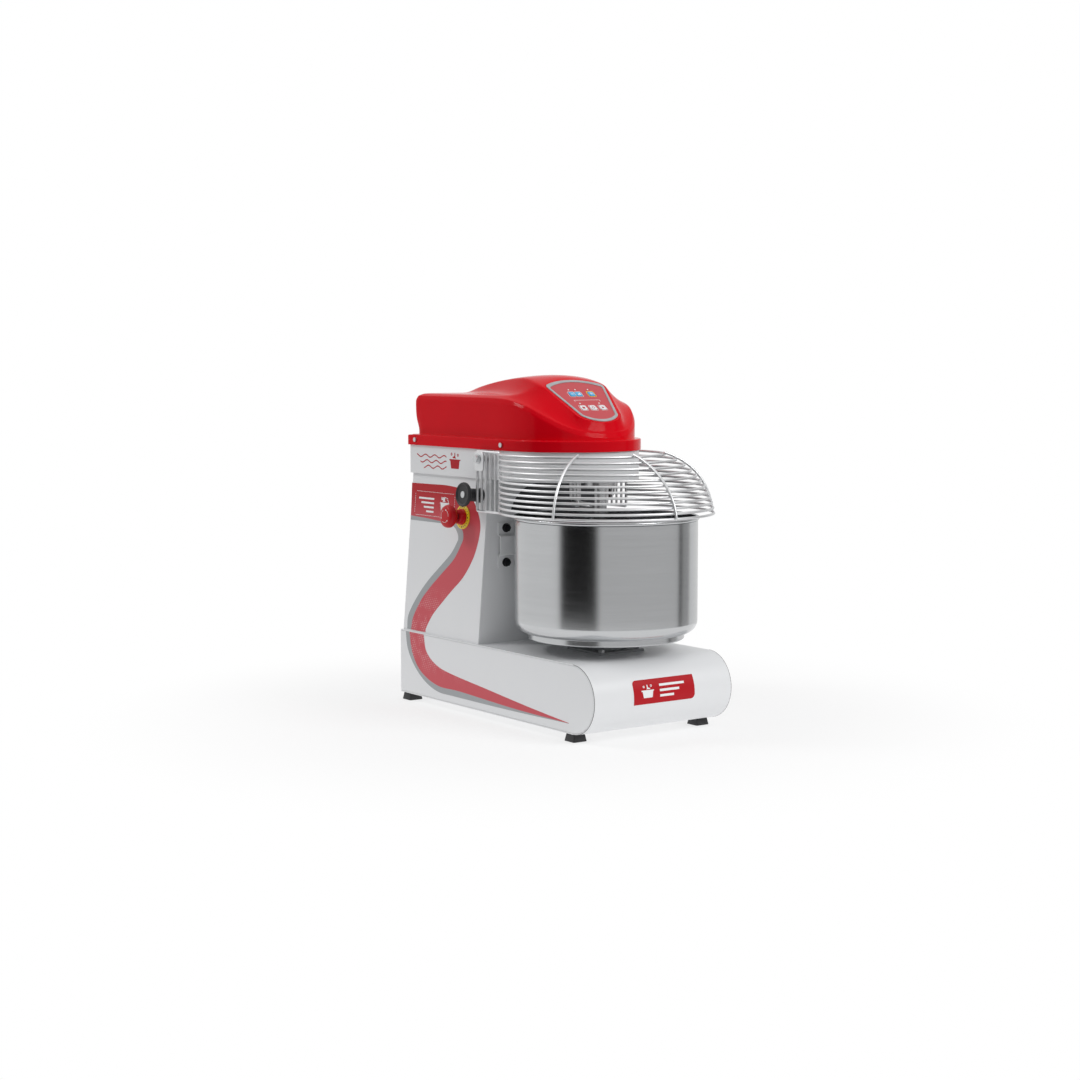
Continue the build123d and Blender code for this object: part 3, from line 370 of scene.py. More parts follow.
def stripe_red(colours):
    """Red vinyl that breaks up into rows of fine pale dashes towards its foot."""
    made = Finish("stripe_red", colours.vinyl, 0.32)
    made.shader.inputs["Specular IOR Level"].default_value = 0.18
    # Painted light: below 0.33 m the stripe is a paler red, a painted reflection of the white
    # surroundings; above 0.40 m it keeps the deeper vinyl red as painted shade near its top.
    pale, shaded_top = (0.74, 0.42, 0.44), made.z.ease(0.33, 0.40)
    across = made.y + made.z * 0.5
    dash = (across.wrap(0.0062) > 0.45) * (made.z.wrap(0.0034) > 0.6)
    height = made.z.ease(0.05, 0.09) * (1 - made.z.ease(0.17, 0.235))
    level = made.grain(0.02, detail=1)
    shown = dash * height * level.ease(0.35, 0.6)
    painted_sheen_red = made.mix(shaded_top, (0.60, 0.095, 0.115), colours.vinyl)
    made.link("Base Color", made.mix(shown * 0.8, painted_sheen_red, pale))
    made.vary_rough(made.grain(0.01), 0.04)
    made.bump(made.grain(0.004, detail=1), 0.00002, 0.4)
    return made


# ---- mesh tools ----
finishes = {}


def piece(name, bm, body, finish, replaces=(), angle=35, outward=True):
    """Turns a bmesh into a piece that rides on a CAD body."""
    if outward:
        bmesh.ops.recalc_face_normals(bm, faces=bm.faces)
    mesh = bpy.data.meshes.new(name)
    bm.to_mesh(mesh)
    bm.free()
    mesh.materials.append(finishes[finish])
    mesh.shade_smooth()
    mesh.set_sharp_from_angle(angle=radians(angle))
    made = bpy.data.objects.new(name, mesh)
    bpy.context.scene.collection.objects.link(made)
    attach(made, body)
    if replaces:
        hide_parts(*replaces)
    return made


def lathe(bm, profile, place, steps=64):
    """Spins (radius, height) points in millimetres about the local Z axis of a place."""
    start = [bm.verts.new(mm(radius, 0, height)) for radius, height in profile]
    edges = [bm.edges.new(pair) for pair in zip(start, start[1:])]
    made = bmesh.ops.spin(bm, geom=start + edges, axis=(0, 0, 1), cent=(0, 0, 0), angle=2 * pi,
                          steps=steps, use_merge=True)
    last = [item for item in made["geom_last"] if isinstance(item, bmesh.types.BMVert)]
    new = island(start + last)
    bmesh.ops.remove_doubles(bm, verts=new, dist=1e-6)
    new = [vert for vert in new if vert.is_valid]
    bmesh.ops.transform(bm, matrix=place, verts=new)


def rounded_block(bm, size, place, corner, edge, segments=3):
    """Block in millimetres with rounded upright corners and softened top and bottom edges."""
    made = bmesh.ops.create_cube(bm, size=1)["verts"]
    bmesh.ops.scale(bm, vec=mm(*size), verts=made)
    upright = [e for e in linked(made, "link_edges")
               if abs(e.verts[0].co.z - e.verts[1].co.z) > 1e-6]
    cut = bmesh.ops.bevel(bm, geom=upright, offset=mm(corner), segments=segments, profile=0.5,
                          affect="EDGES", material=-1)
    made = island(linked(cut["faces"], "verts") + [v for v in made if v.is_valid])
    if edge:
        level = [e for e in linked(made, "link_edges")
                 if abs(e.verts[0].co.z - e.verts[1].co.z) < 1e-7]
        cut = bmesh.ops.bevel(bm, geom=level, offset=mm(edge), segments=2, profile=0.5,
                              affect="EDGES", material=-1)
        made = island(linked(cut["faces"], "verts"))
    bmesh.ops.transform(bm, matrix=place, verts=made)
    return made


def linked(items, neighbours):
    """Edges, faces or vertices next to these items, each once and in a fixed order."""
    return list(dict.fromkeys(found for item in items for found in getattr(item, neighbours)))


def island(verts):
    """All vertices joined by edges to these ones, in a fixed order."""
    found = dict.fromkeys(v for v in verts if v.is_valid)
    front = list(found)
    while front:
        reach = linked(linked(front, "link_edges"), "verts")
        front = [v for v in reach if v not in found]
        found.update(dict.fromkeys(front))
    return list(found)


def curve_mesh(bm, splines, kind, radius=0.0, fill=False, cyclic=True, place=Matrix(), smooth=12,
               thick=0.0):
    """Adds a bent tube, or a filled flat outline, along points in millimetres."""
    curve = bpy.data.curves.new("outline", "CURVE")
    curve.dimensions = "2D" if fill else "3D"
    curve.fill_mode = "BOTH" if fill else "FULL"
    curve.resolution_u = smooth
    curve.bevel_depth, curve.bevel_resolution = radius, 4
    curve.use_fill_caps = not fill
    curve.extrude = thick
    for points in splines:
        spline = curve.splines.new(kind)
        spots = [mm(*point, 0) if len(point) == 2 else mm(*point) for point in points]
        if kind == "BEZIER":
            spline.bezier_points.add(len(spots) - 1)
            for knot, spot in zip(spline.bezier_points, spots):
                knot.co = spot
                knot.handle_left_type = knot.handle_right_type = "AUTO"
        else:
            spline.points.add(len(spots) - 1)
            for knot, spot in zip(spline.points, spots):
                knot.co = (*spot, 1)
            if kind == "NURBS":
                spline.order_u = 3
                spline.use_endpoint_u = not cyclic
        spline.use_cyclic_u = cyclic
    holder = bpy.data.objects.new("outline", curve)
    mesh = bpy.data.meshes.new_from_object(holder)
    mesh.transform(place)
    bm.from_mesh(mesh)
    bpy.data.objects.remove(holder)
    bpy.data.curves.remove(curve)
    bpy.data.meshes.remove(mesh)


# ---- top cover ----
# The cap is a grid: t runs across from -1 to 1 and the row from the hump's rear foot to the
# panel's lower end. Loops grow from its edge outwards and down to the rim, in millimetres.
# HUMP_ROWS: y, half width, height, crown. PANEL_ROWS: distance up the panel at middle and edge.
HUMP_ROWS = [(216, 46, 585.0, 2), (196, 49, 590.5, 3), (170, 51, 595.5, 3), (140, 53, 600.5, 3),
             (110, 55, 605, 3.5), (80, 58, 608.5, 4), (50, 61, 611, 4), (24, 64, 612, 5),
             (2, 67.5, 610, 7)]
PANEL_ROWS = [(21.5, 5), (-1, -12), (-24, -28), (-46, -48), (-68, -68), (-90, -84), (-112, -94)]
LAST_ROW = len(HUMP_ROWS) + len(PANEL_ROWS) - 1
SIDE_Y = (None, 275, 245, 212, 178, 144, 110, 76, 42, 10)
FRONT_ANGLES = (13, 26, 38, 49, 59, 67)
CREASE = (571, 571, 571, 571, 571, 571, 571, 571, 571, 570, 561, 549, 537, 526, 519, 515)
FOOT_X = (62, 66, 71, 77, 84, 91, 97, 101, 104)


def cap_point(t, row):
    """Point of the hump's top or of the panel's plateau, in millimetres."""
    if row < len(HUMP_ROWS):
        y, half, z, crown = HUMP_ROWS[row]
        return Vector((t * half, y, z - crown * t * t))
    middle_v, edge_v = PANEL_ROWS[row - len(HUMP_ROWS)]
    v = middle_v + (edge_v - middle_v) * t * t
    half = 71 - 0.24 * (5 - edge_v)
    spot = PANEL @ mm(half * t, v, 0)
    return spot * 1000


def plan_point(t, row, half, rear):
    """Point of the head's plan, square behind and round in front, for a place on the cap's edge."""
    if row == 0:
        return Vector((t * half, rear, 0))
    centre = HEAD_ROUND * 1000
    if row == LAST_ROW:
        angle = radians(90 - t * (90 - FRONT_ANGLES[-1]))
    elif row < len(SIDE_Y):
        return Vector((t * half, SIDE_Y[row], 0))
    else:
        angle = radians(FRONT_ANGLES[row - len(SIDE_Y)])
        angle = angle if t > 0 else pi - angle
    out = half * 1.008
    return Vector((half * cos(angle), centre - out * sin(angle), 0))


def crease_height(t, row):
    return CREASE[row] - (3.0 * (1 - t * t) if row == LAST_ROW else 0)


def cover_loops(cover):
    """Where each loop outside the cap lies, from the cap's edge out to the rim, in millimetres."""
    half, rear, deck = cover.wall_half * 1000, cover.wall_rear * 1000, cover.deck * 1000
    rim, rim_rear = cover.rim_half * 1000, cover.rim_rear * 1000
    low, top = cover.rim_low * 1000, cover.rim_top * 1000

    def flank(share, level, rise):
        def place(t, row):
            cap = cap_point(t, row)
            if row < len(HUMP_ROWS):
                foot = Vector((FOOT_X[row] * t, cap.y, deck))
                if row == 0:
                    foot.y = cap.y + 24
                elif row < 8:
                    foot.y += (SIDE_Y[row] - cap.y) * 0.25
                spot = foot.lerp(cap, share)
                spot.z = deck + (cap.z - deck) * level
                return spot
            wall = plan_point(t, row, half - 4, rear - 4)
            wall.z = crease_height(t, row)
            spot = wall.lerp(cap, rise)
            spot.z = wall.z + (cap.z - wall.z) * rise ** 1.45
            return spot
        return place

    def edge(inset, drop, height=None):
        def place(t, row):
            spot = plan_point(t, row, half - inset, rear - inset)
            crease = crease_height(t, row)
            if height is None:
                spot.z = crease - drop
            elif row < len(HUMP_ROWS):
                spot.z = height
            else:
                cap = cap_point(t, row)
                rise = 0.16
                wall = plan_point(t, row, half - 4, rear - 4)
                spot = wall.lerp(cap, rise)
                spot.z = crease + (cap.z - crease) * rise ** 1.45 + 0.5
            return spot
        return place

    def level(reach, behind, height):
        def place(t, row):
            spot = plan_point(t, row, reach, behind)
            spot.z = height
            return spot
        return place

    return [
        (flank(0.93, 0.90, 0.93), 0.0), (flank(0.55, 0.36, 0.70), 0.0), (flank(0.14, 0.03, 0.42), 0.0),
        (edge(13, 0, deck), 0.35), (edge(3.5, 0), 0.8), (edge(0, 8), 0.45),
        (level(half, rear, top + 3), 0.0), (level(half, rear, top + 0.2), 0.9),
        (level(rim - 1.2, rim_rear - 1.2, top), 0.6), (level(rim, rim_rear, top - 1.2), 0.6),
        (level(rim, rim_rear, low), 1.0), (level(rim - 3, rim_rear - 3, low), 1.0),
    ]


def open_edges(bm):
    return [edge for edge in bm.edges if edge.is_boundary]


class MIXER_OT_cover(bpy.types.Operator):
    """Moulded top cover: hump, panel plateau, hollow flanks, wall and rim"""
    bl_idname = "mixer.cover"
    bl_label = "Top cover"

    def execute(self, context):
        cover = context.scene.mixer_cover
        bm = bmesh.new()
        columns = 6
        home = bm.verts.layers.float_vector.new("home")
        crease = bm.edges.layers.float.new("crease_edge")
        grid = bmesh.ops.create_grid(bm, x_segments=columns, y_segments=LAST_ROW, size=1)["verts"]
        for vert in grid:
            t = vert.co.x
            row = round((1 - vert.co.y) / 2 * LAST_ROW)
            vert[home] = (t, row, 0)
            vert.co = cap_point(t, row) * 0.001
        rim = open_edges(bm)
        for edge in rim:
            on_panel = all(vert[home].y >= len(HUMP_ROWS) for vert in edge.verts)
            edge[crease] = 0.55 if on_panel else 0.0
        for place, sharp in cover_loops(cover):
            grown = bmesh.ops.extrude_edge_only(bm, edges=rim)["geom"]
            for vert in (item for item in grown if isinstance(item, bmesh.types.BMVert)):
                t, row, _ = vert[home]
                vert.co = place(t, round(row)) * 0.001
            rim = open_edges(bm)
            for edge in rim:
                edge[crease] = sharp
        for edge in bm.edges:
            corner = all(vert[home].y == 0 and abs(vert[home].x) == 1 for vert in edge.verts)
            if corner and abs(edge.verts[0].co.z - edge.verts[1].co.z) > mm(4):
                edge[crease] = 0.75
        made = piece("cover_moulding", bm, "root", "red_plastic", ["top_cover"], 60)
        smooth = made.modifiers.new("soft form", "SUBSURF")
        smooth.levels = smooth.render_levels = 3
        wall = made.modifiers.new("moulding", "SOLIDIFY")
        wall.thickness, wall.offset = cover.skin, -1
        return {"FINISHED"}


# ---- base and column details ----
class MIXER_OT_feet(bpy.types.Operator):
    """Tapered rubber feet with softened edges"""
    bl_idname = "mixer.feet"
    bl_label = "Rubber feet"

    def execute(self, context):
        bm = bmesh.new()
        low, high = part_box("rubber_feet")
        for x in (low.x + mm(14.5), high.x - mm(14.5)):
            for y in (low.y + mm(14.5), high.y - mm(14.5)):
                place = Matrix.Translation((x, y, high.z / 2))
                foot = rounded_block(bm, (28.6, 28.6, 13.8), place, 3, 0.9)
                for vert in foot:
                    shrink = 1 - 0.19 * vert.co.z / high.z
                    vert.co.x = x + (vert.co.x - x) * shrink
                    vert.co.y = y + (vert.co.y - y) * shrink
        piece("feet_rubber", bm, "root", "black_rubber", ["rubber_feet"])
        return {"FINISHED"}


def wall_frame(side, y, z):
    """Frame on the column's leaning side wall, its Z axis pointing out of the wall."""
    half = COLUMN_HALF - COLUMN_LEAN * (z - COLUMN_FOOT)
    out = Vector((side, 0, COLUMN_LEAN)).normalized()
    along = Vector((0, side, 0))
    up = out.cross(along)
    turn = Matrix((along, up, out)).transposed().to_4x4()
    return Matrix.Translation((side * half, y, z)) @ turn


class MIXER_OT_bumpers(bpy.types.Operator):
    """Dished rubber bumpers that the closed guard's side frames lean against"""
    bl_idname = "mixer.bumpers"
    bl_label = "Guard bumpers"

    def execute(self, context):
        bm = bmesh.new()
        low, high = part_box("guard_bumpers")
        for side in (-1, 1):
            place = wall_frame(side, (low.y + high.y) / 2, mm(397))
            reach = (high.x - mm(124)) * 1000 - 0.6
            lathe(bm, [(3.4, 0.2), (13.5, 0.2), (12.2, 3), (11.6, 8), (11.6, reach - 13),
                       (13.5, reach - 9.5), (20.2, reach - 7.6), (21.6, reach - 6), (21.9, reach - 3),
                       (21.2, reach - 0.9), (20, reach), (18.4, reach - 0.4), (16.8, reach - 2.2),
                       (9, reach - 2.9), (3.4, reach - 2.9)], place)
        piece("bumper_rubber", bm, "root", "black_rubber", ["guard_bumpers"])
        return {"FINISHED"}


# ---- emergency stop ----
class MIXER_OT_stop(bpy.types.Operator):
    """Emergency stop: yellow disc with plain marks, collar and mushroom cap"""
    bl_idname = "mixer.stop"
    bl_label = "Emergency stop"

    def execute(self, context):
        spot = middle("estop_ring")
        place = wall_frame(-1, spot.y, spot.z)
        bm = bmesh.new()
        lathe(bm, [(11.4, 0.1), (21.6, 0.1), (22, 0.5), (22, 2), (21.4, 2.5), (11.4, 2.5)], place)
        piece("stop_disc", bm, "root", "yellow_plastic", ["estop_ring"])
        bm = bmesh.new()
        for step in range(20):
            turn = place @ Matrix.Rotation(2 * pi * step / 20, 4, "Z")
            if step % 5:
                tick = turn @ Matrix.Translation(mm(18.2, 0, 2.52))
                rounded_block(bm, (2.6, 1.1, 0.16), tick, 0.3, 0, 1)
            else:
                arrow = turn @ Matrix.Translation(mm(18.2, 0, 2.46))
                curve_mesh(bm, [[(-1.9, -1.6), (1.9, -1.6), (0, 2.2)]], "POLY", 0, True, True, arrow,
                           1, mm(0.08))
        piece("stop_marks", bm, "root", "print_black")
        bm = bmesh.new()
        lathe(bm, [(6.4, 2.5), (14.6, 2.5), (14.6, 6), (13.4, 7), (12.9, 13), (12.2, 13.9),
                   (6.4, 13.9)], place)
        lathe(bm, [(11, -8), (11, 2.5)], place)
        piece("stop_collar", bm, "root", "estop_red", ["estop_collar"])
        bm = bmesh.new()
        lathe(bm, [(6, 20.1), (12.2, 20.1), (14.2, 21), (18.8, 26.2), (20.4, 28.4), (20.9, 30.4),
                   (20.9, 33.2), (20.2, 36), (18.4, 38.6), (15.6, 40), (11, 40.4), (0, 40.5)], place)
        piece("stop_cap", bm, "estop_head", "estop_red", ["estop_cap"], 50)
        bm = bmesh.new()
        for step in range(3):
            turn = place @ Matrix.Rotation(2 * pi * step / 3, 4, "Z")
            arc = [(11.5 * cos(radians(a)), 11.5 * sin(radians(a)), 40.32) for a in range(0, 80, 10)]
            curve_mesh(bm, [arc], "NURBS", mm(0.35), False, False, turn, 4)
            tip = turn @ Matrix.Rotation(radians(76), 4, "Z") @ Matrix.Translation(mm(11.5, 0, 40.3))
            curve_mesh(bm, [[(-1.7, -0.6), (1.7, -0.6), (0, 2.8)]], "POLY", 0, True, True, tip, 1,
                       mm(0.15))
        piece("stop_arrows", bm, "estop_head", "print_white")
        return {"FINISHED"}


# ---- guard ----
class MIXER_OT_guard(bpy.types.Operator):
    """Level wires and side frames of the lifting guard, the frames with upright bars and pivot lugs"""
    bl_idname = "mixer.guard"
    bl_label = "Wire guard"

    def execute(self, context):
        guard = context.scene.mixer_guard
        low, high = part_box("guard_frame_left")
        front, rear = low.y + guard.rod, high.y - guard.rod
        bottom, top = low.z + guard.rod, high.z - guard.rod
        half = GUARD_HALF
        first = bottom + mm(3.4)
        bm = bmesh.new()
        for step in range(guard.count):
            z = first + step * guard.pitch
            rise = (z - first + mm(12)) / guard.height
            nose = BOWL_AXIS.y - guard.reach * sqrt(1 - rise * rise)
            centre = ((nose ** 2 - front ** 2) - half ** 2) / (2 * (nose - front))
            radius = centre - nose
            open_angle = atan2(front - centre, half) + (mm(1.5) / radius if step in (0, 11) else 0)
            place = (Matrix.Translation((0, centre, z)) @ Matrix.Rotation(open_angle, 4, "Z")
                     @ Matrix.Translation((radius, 0, 0)) @ Matrix.Rotation(pi / 2, 4, "X"))
            ring = bmesh.ops.create_circle(bm, cap_ends=True, radius=guard.wire, segments=12,
                                           matrix=place)["verts"]
            shape = ring + linked(ring, "link_edges") + linked(ring, "link_faces")
            bmesh.ops.spin(bm, geom=shape, cent=(0, centre, z), axis=(0, 0, 1),
                           angle=-(pi + 2 * open_angle), steps=72)
        piece("guard_hoops", bm, "guard", "bright_wire", ["guard_wires"], 50)
        for side, name in ((-1, "left"), (1, "right")):
            bm = bmesh.new()
            x = side * half * 1000
            y0, y1, z0, z1 = front * 1000, rear * 1000, bottom * 1000, top * 1000
            c = guard.corner * 1000
            loop = [(x, y0 + c, z0), (x, y0, z0), (x, y0, z0 + c), (x, y0, z1 - c), (x, y0, z1),
                    (x, y0 + c, z1), (x, y1 - c, z1), (x, y1, z1), (x, y1, z1 - c), (x, y1, z0 + c),
                    (x, y1, z0), (x, y1 - c, z0)]
            curve_mesh(bm, [loop], "NURBS", guard.rod)
            pivot = middle("guard_pivots")
            for bar in range(1, 5):
                y = y0 + (y1 - y0) * bar / 5
                reach = z1 if abs(y - pivot.y * 1000) > 10 else 456
                curve_mesh(bm, [[(x, y, z0), (x, y, (z0 + reach) / 2), (x, y, reach)]], "NURBS",
                           guard.wire, False, False, smooth=1)
            lug = Matrix.Translation((x / 1000 + side * mm(4), pivot.y - mm(2), mm(459.5)))
            turn = lug @ Matrix.Rotation(side * pi / 2, 4, "Y")
            rounded_block(bm, (34, 28, 3), turn, 6, 0.5)
            piece("guard_side_" + name, bm, "guard", "bright_wire",
                  ["guard_frame_" + name], 50)
        return {"FINISHED"}


# ---- bowl and hook ----
class MIXER_OT_bowl(bpy.types.Operator):
    """Spun steel bowl with a rolled rim"""
    bl_idname = "mixer.bowl"
    bl_label = "Bowl"

    def execute(self, context):
        size = context.scene.mixer_bowl
        low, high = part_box("bowl")
        radius, wall, corner, bead = (1000 * v for v in (size.radius, size.wall, size.corner, size.bead))
        foot, rim = low.z * 1000, high.z * 1000
        profile = [(0.0, foot), (60, foot), (radius - corner, foot)]
        for step in range(1, 9):
            angle = radians(90 * step / 8)
            profile.append((radius - corner + corner * sin(angle), foot + corner * (1 - cos(angle))))
        profile += [(radius, foot + 90), (radius, rim - 2 * bead - 1)]
        for step in range(0, 15):
            angle = radians(-120 + 270 * step / 14)
            profile.append((radius - wall / 2 + 1 + bead * cos(angle) * 0.99 - 0.4,
                            rim - bead + bead * sin(angle)))
        inner, bend = radius - wall, corner - wall
        profile += [(inner, rim - 2 * bead - 1), (inner, foot + 90)]
        for step in range(8, -1, -1):
            angle = radians(90 * step / 8)
            profile.append((radius - corner + bend * sin(angle), foot + corner - bend * cos(angle)))
        profile += [(60, foot + wall), (0.0, foot + wall)]
        bm = bmesh.new()
        lathe(bm, profile, Matrix.Translation((BOWL_AXIS.x, BOWL_AXIS.y, 0)), 128)
        piece("bowl_spun", bm, "bowl", "stainless", ["bowl"], 40)
        return {"FINISHED"}


class MIXER_OT_hook(bpy.types.Operator):
    """Spiral hook bent from one round bar, with the hub it hangs from"""
    bl_idname = "mixer.hook"
    bl_label = "Spiral hook"

    def execute(self, context):
        size = context.scene.mixer_bowl
        coil, y = size.coil * 1000, SPINDLE.y * 1000
        path = [(0, y, 416), (0, y, 404), (0, y, 391), (5, y - 2.5, 381)]
        turns, first, top, foot = 1.5, -25.0, 375.3, 187.5
        path.append((0.55 * coil * cos(radians(first + 14)), y + 0.55 * coil * sin(radians(first + 14)),
                     377))
        steps = 26
        for step in range(steps + 1):
            share = step / steps
            angle = radians(first - 360 * turns * share)
            reach = coil * (0.96 if step == 0 else 1.0)
            path.append((reach * cos(angle), y + reach * sin(angle), top + (foot - top) * share))
        for extra, reach, drop in ((10, 0.97, 0.8), (24, 0.82, 1.2), (40, 0.58, 1.4), (50, 0.4, 1.4)):
            angle = radians(first - 360 * turns - extra)
            path.append((coil * reach * cos(angle), y + coil * reach * sin(angle), foot - drop))
        bm = bmesh.new()
        curve_mesh(bm, [path], "NURBS", size.bar, False, False, Matrix(), 5)
        lathe(bm, [(0, 395), (11, 395), (11, 534), (0, 534)], Matrix.Translation((0, SPINDLE.y, 0)), 32)
        piece("hook_bar", bm, "spiral", "hook_steel", ["spiral_hook"], 50)
        return {"FINISHED"}


# ---- control panel ----
def icon(shape):
    """Outlines of a plain sign for a key, in millimetres about its centre."""
    if shape == "play":
        return [[(-2.2, -3), (-2.2, 3), (3.2, 0)]]
    if shape == "stop":
        return [[(-2.6, -2.6), (2.6, -2.6), (2.6, 2.6), (-2.6, 2.6)]]
    if shape == "bars":
        return [[(-3, -3), (-1.4, -3), (-1.4, -0.6), (-3, -0.6)],
                [(-0.8, -3), (0.8, -3), (0.8, 1.2), (-0.8, 1.2)],
                [(1.4, -3), (3, -3), (3, 3), (1.4, 3)]]
    if shape == "minus":
        return [[(-2.8, -0.6), (2.8, -0.6), (2.8, 0.6), (-2.8, 0.6)]]
    if shape == "plus":
        return [[(-2.8, -0.6), (-0.6, -0.6), (-0.6, -2.8), (0.6, -2.8), (0.6, -0.6), (2.8, -0.6),
                 (2.8, 0.6), (0.6, 0.6), (0.6, 2.8), (-0.6, 2.8), (-0.6, 0.6), (-2.8, 0.6)]]
    ring = [(3 * cos(radians(a)), 3 * sin(radians(a))) for a in range(0, 360, 20)]
    hole = [(2 * x / 3, 2 * y / 3) for x, y in ring]
    return [ring, hole]


def rounded(half_width, half_height, corners, step):
    """Rectangle in millimetres whose four corner radii run round from the top right."""
    loop = []
    for number, radius in enumerate(corners):
        across = (half_width - radius) * (1 if number in (0, 3) else -1)
        up = (half_height - radius) * (1 if number < 2 else -1)
        loop += [(across + radius * cos(radians(90 * number + a)),
                  up + radius * sin(radians(90 * number + a))) for a in range(0, 91, step)]
    return loop


def outline(width, height, corner, border):
    """Rounded frame in millimetres: its outer and its inner outline."""
    return [rounded(width / 2 - inset, height / 2 - inset, [max(0.1, corner - inset)] * 4, 15)
            for inset in (0.0, border)]


def shifted(loops, u, v):
    return [[(x + u, y + v) for x, y in loop] for loop in loops]


def sticker(name, loops, place, finish, body="root", thick=0.1):
    """Flat outline filled and given a little thickness, lying on a place's XY plane."""
    bm = bmesh.new()
    curve_mesh(bm, loops, "POLY", 0, True, True, place, 1, mm(thick))
    return piece(name, bm, body, finish)


class MIXER_OT_keys(bpy.types.Operator):
    """Pillow keys with plain signs, and the printed lines between them"""
    bl_idname = "mixer.keys"
    bl_label = "Panel keys"

    def execute(self, context):
        keys = (("key_white_left", "stop", -21, -68), ("key_white_middle", "ring", 0, -68),
                ("key_white_right", "play", 21, -68), ("key_blue_left", "minus", -21, -27),
                ("key_blue_middle", "bars", -6.5, -27), ("key_blue_right", "plus", 21, -27))
        for name, sign, u, v in keys:
            white = "white" in name
            corners = [PANEL.inverted() @ Vector(c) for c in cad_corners(name)]
            top = max(c.z for c in corners)
            rise = max(top * 1000, 1.0)
            bm = bmesh.new()
            place = PANEL @ Matrix.Translation(mm(u, v, rise - 0.75))
            rounded_block(bm, (12.3, 12.3, 1.5), place, 2.6, 0.5)
            slot = "white_plastic" if white else "blue_plastic"
            piece(name + "_pad", bm, name + "_body", slot, [name])
            face = PANEL @ Matrix.Translation(mm(u, v, rise + 0.03))
            sticker(name + "_sign", icon(sign), face, "print_red" if white else "print_white",
                    name + "_body", 0.06)
        plate = PANEL @ Matrix.Translation(mm(0, 0, panel_height() * 1000 + 0.05))
        lines = outline(15.6, 15.6, 3, 0.7)
        for _, _, u, v in keys[:3]:
            sticker(f"key_frame_{u + 50}", shifted(lines, u, v), plate, "print_white", thick=0.05)
        for _, _, u, v in keys[3:5]:
            sticker(f"key_frame_{round(u) + 90}", shifted(lines, u, v), plate, "print_white", thick=0.05)
        sticker("key_frame_gold", shifted(outline(16.4, 16.4, 3, 1.1), 21, -27), plate,
                "yellow_plastic", thick=0.05)
        bracket = [[(-28, -45), (28, -45), (28, -44.3), (-28, -44.3)],
                   [(-28, -49.5), (-27.3, -49.5), (-27.3, -45), (-28, -45)],
                   [(27.3, -49.5), (28, -49.5), (28, -45), (27.3, -45)]]
        sticker("panel_bracket", bracket, plate, "print_white", thick=0.05)
        return {"FINISHED"}


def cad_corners(node):
    """Vertices of a CAD node at rest."""
    return [v.co.copy() for v in frame["nodes"][node].data.vertices]


def panel_height():
    """Height of the membrane's face above the plateau's plane."""
    back = PANEL.inverted()
    return max((back @ spot).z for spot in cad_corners("panel_membrane"))


# ---- stripes, labels and badges ----
TOP_EDGE = [(310, 408.6), (250, 409.2), (180, 409.4), (125, 402)]
RED_COLUMN = [(96.2, 382.1), (80.3, 360.1), (73.8, 339.8), (78.2, 313.2), (91.6, 281.9),
              (118.5, 247.5), (153.4, 219.4), (177.2, 199.7), (211.3, 169.7), (230.5, 143.4),
              (232.0, 134.5)]
BETWEEN_COLUMN = [(205.6, 343.2), (152, 342), (131.3, 332), (126, 318), (133.3, 303.3), (153, 276.8),
                  (188.2, 248.9), (224.3, 220.4), (254.4, 192.1), (277.6, 157.9), (281.9, 134.5)]
GREY_COLUMN = [(205.6, 339.4), (162, 337), (146.3, 325.3), (142.6, 316), (146, 308.1), (164.3, 285.6),
               (200, 257.5), (236.2, 229.1), (268.8, 196.6), (294.2, 161), (295.6, 134.5)]
RED_BASE = [(232.3, 130.5), (223.6, 100.6), (192.8, 80.2), (144.6, 69.3), (26.2, 56.5),
            (-100, 43), (-219.2, 32.1)]
BETWEEN_BASE = [(281.4, 130.5), (271.6, 92.4), (242.3, 60.4), (184.3, 41.2), (110.1, 40.3),
                (-60, 33.6), (-219.2, 31.6)]
GREY_BASE = [(294.9, 130.5), (287.4, 97.9), (264.9, 68.5), (228.7, 43.8), (184.4, 30.2),
             (131.9, 28.9), (-40, 28.8), (-219.2, 31.2)]


def smooth_line(points, detail=6):
    """Catmull-Rom line through (y, z) points."""
    spots = [Vector(point) for point in points]
    spots = [2 * spots[0] - spots[1]] + spots + [2 * spots[-1] - spots[-2]]
    line = []
    for a, b, c, d in zip(spots, spots[1:], spots[2:], spots[3:]):
        for step in range(detail):
            t = step / detail
            line.append(0.5 * ((2 * b) + (c - a) * t + (2 * a - 5 * b + 4 * c - d) * t * t
                               + (3 * b - a - 3 * c + d) * t ** 3))
    return [tuple(spot) for spot in line + [spots[-2]]]


def on_side(side, lean):
    """Place whose X runs along the machine's Y and whose Y runs up its side, for flat outlines."""
    half = COLUMN_HALF if lean else BASE_HALF
    slope = COLUMN_LEAN if lean else 0.0
    up = Vector((-side * slope, 0, 1)).normalized()
    along = Vector((0, 1, 0))
    out = Vector((side, 0, slope)).normalized()
    turn = Matrix((along, up, out)).transposed().to_4x4()
    lift = out * mm(0.12)
    return Matrix.Translation(Vector((side * half, 0, COLUMN_FOOT if lean else 0)) + lift) @ turn


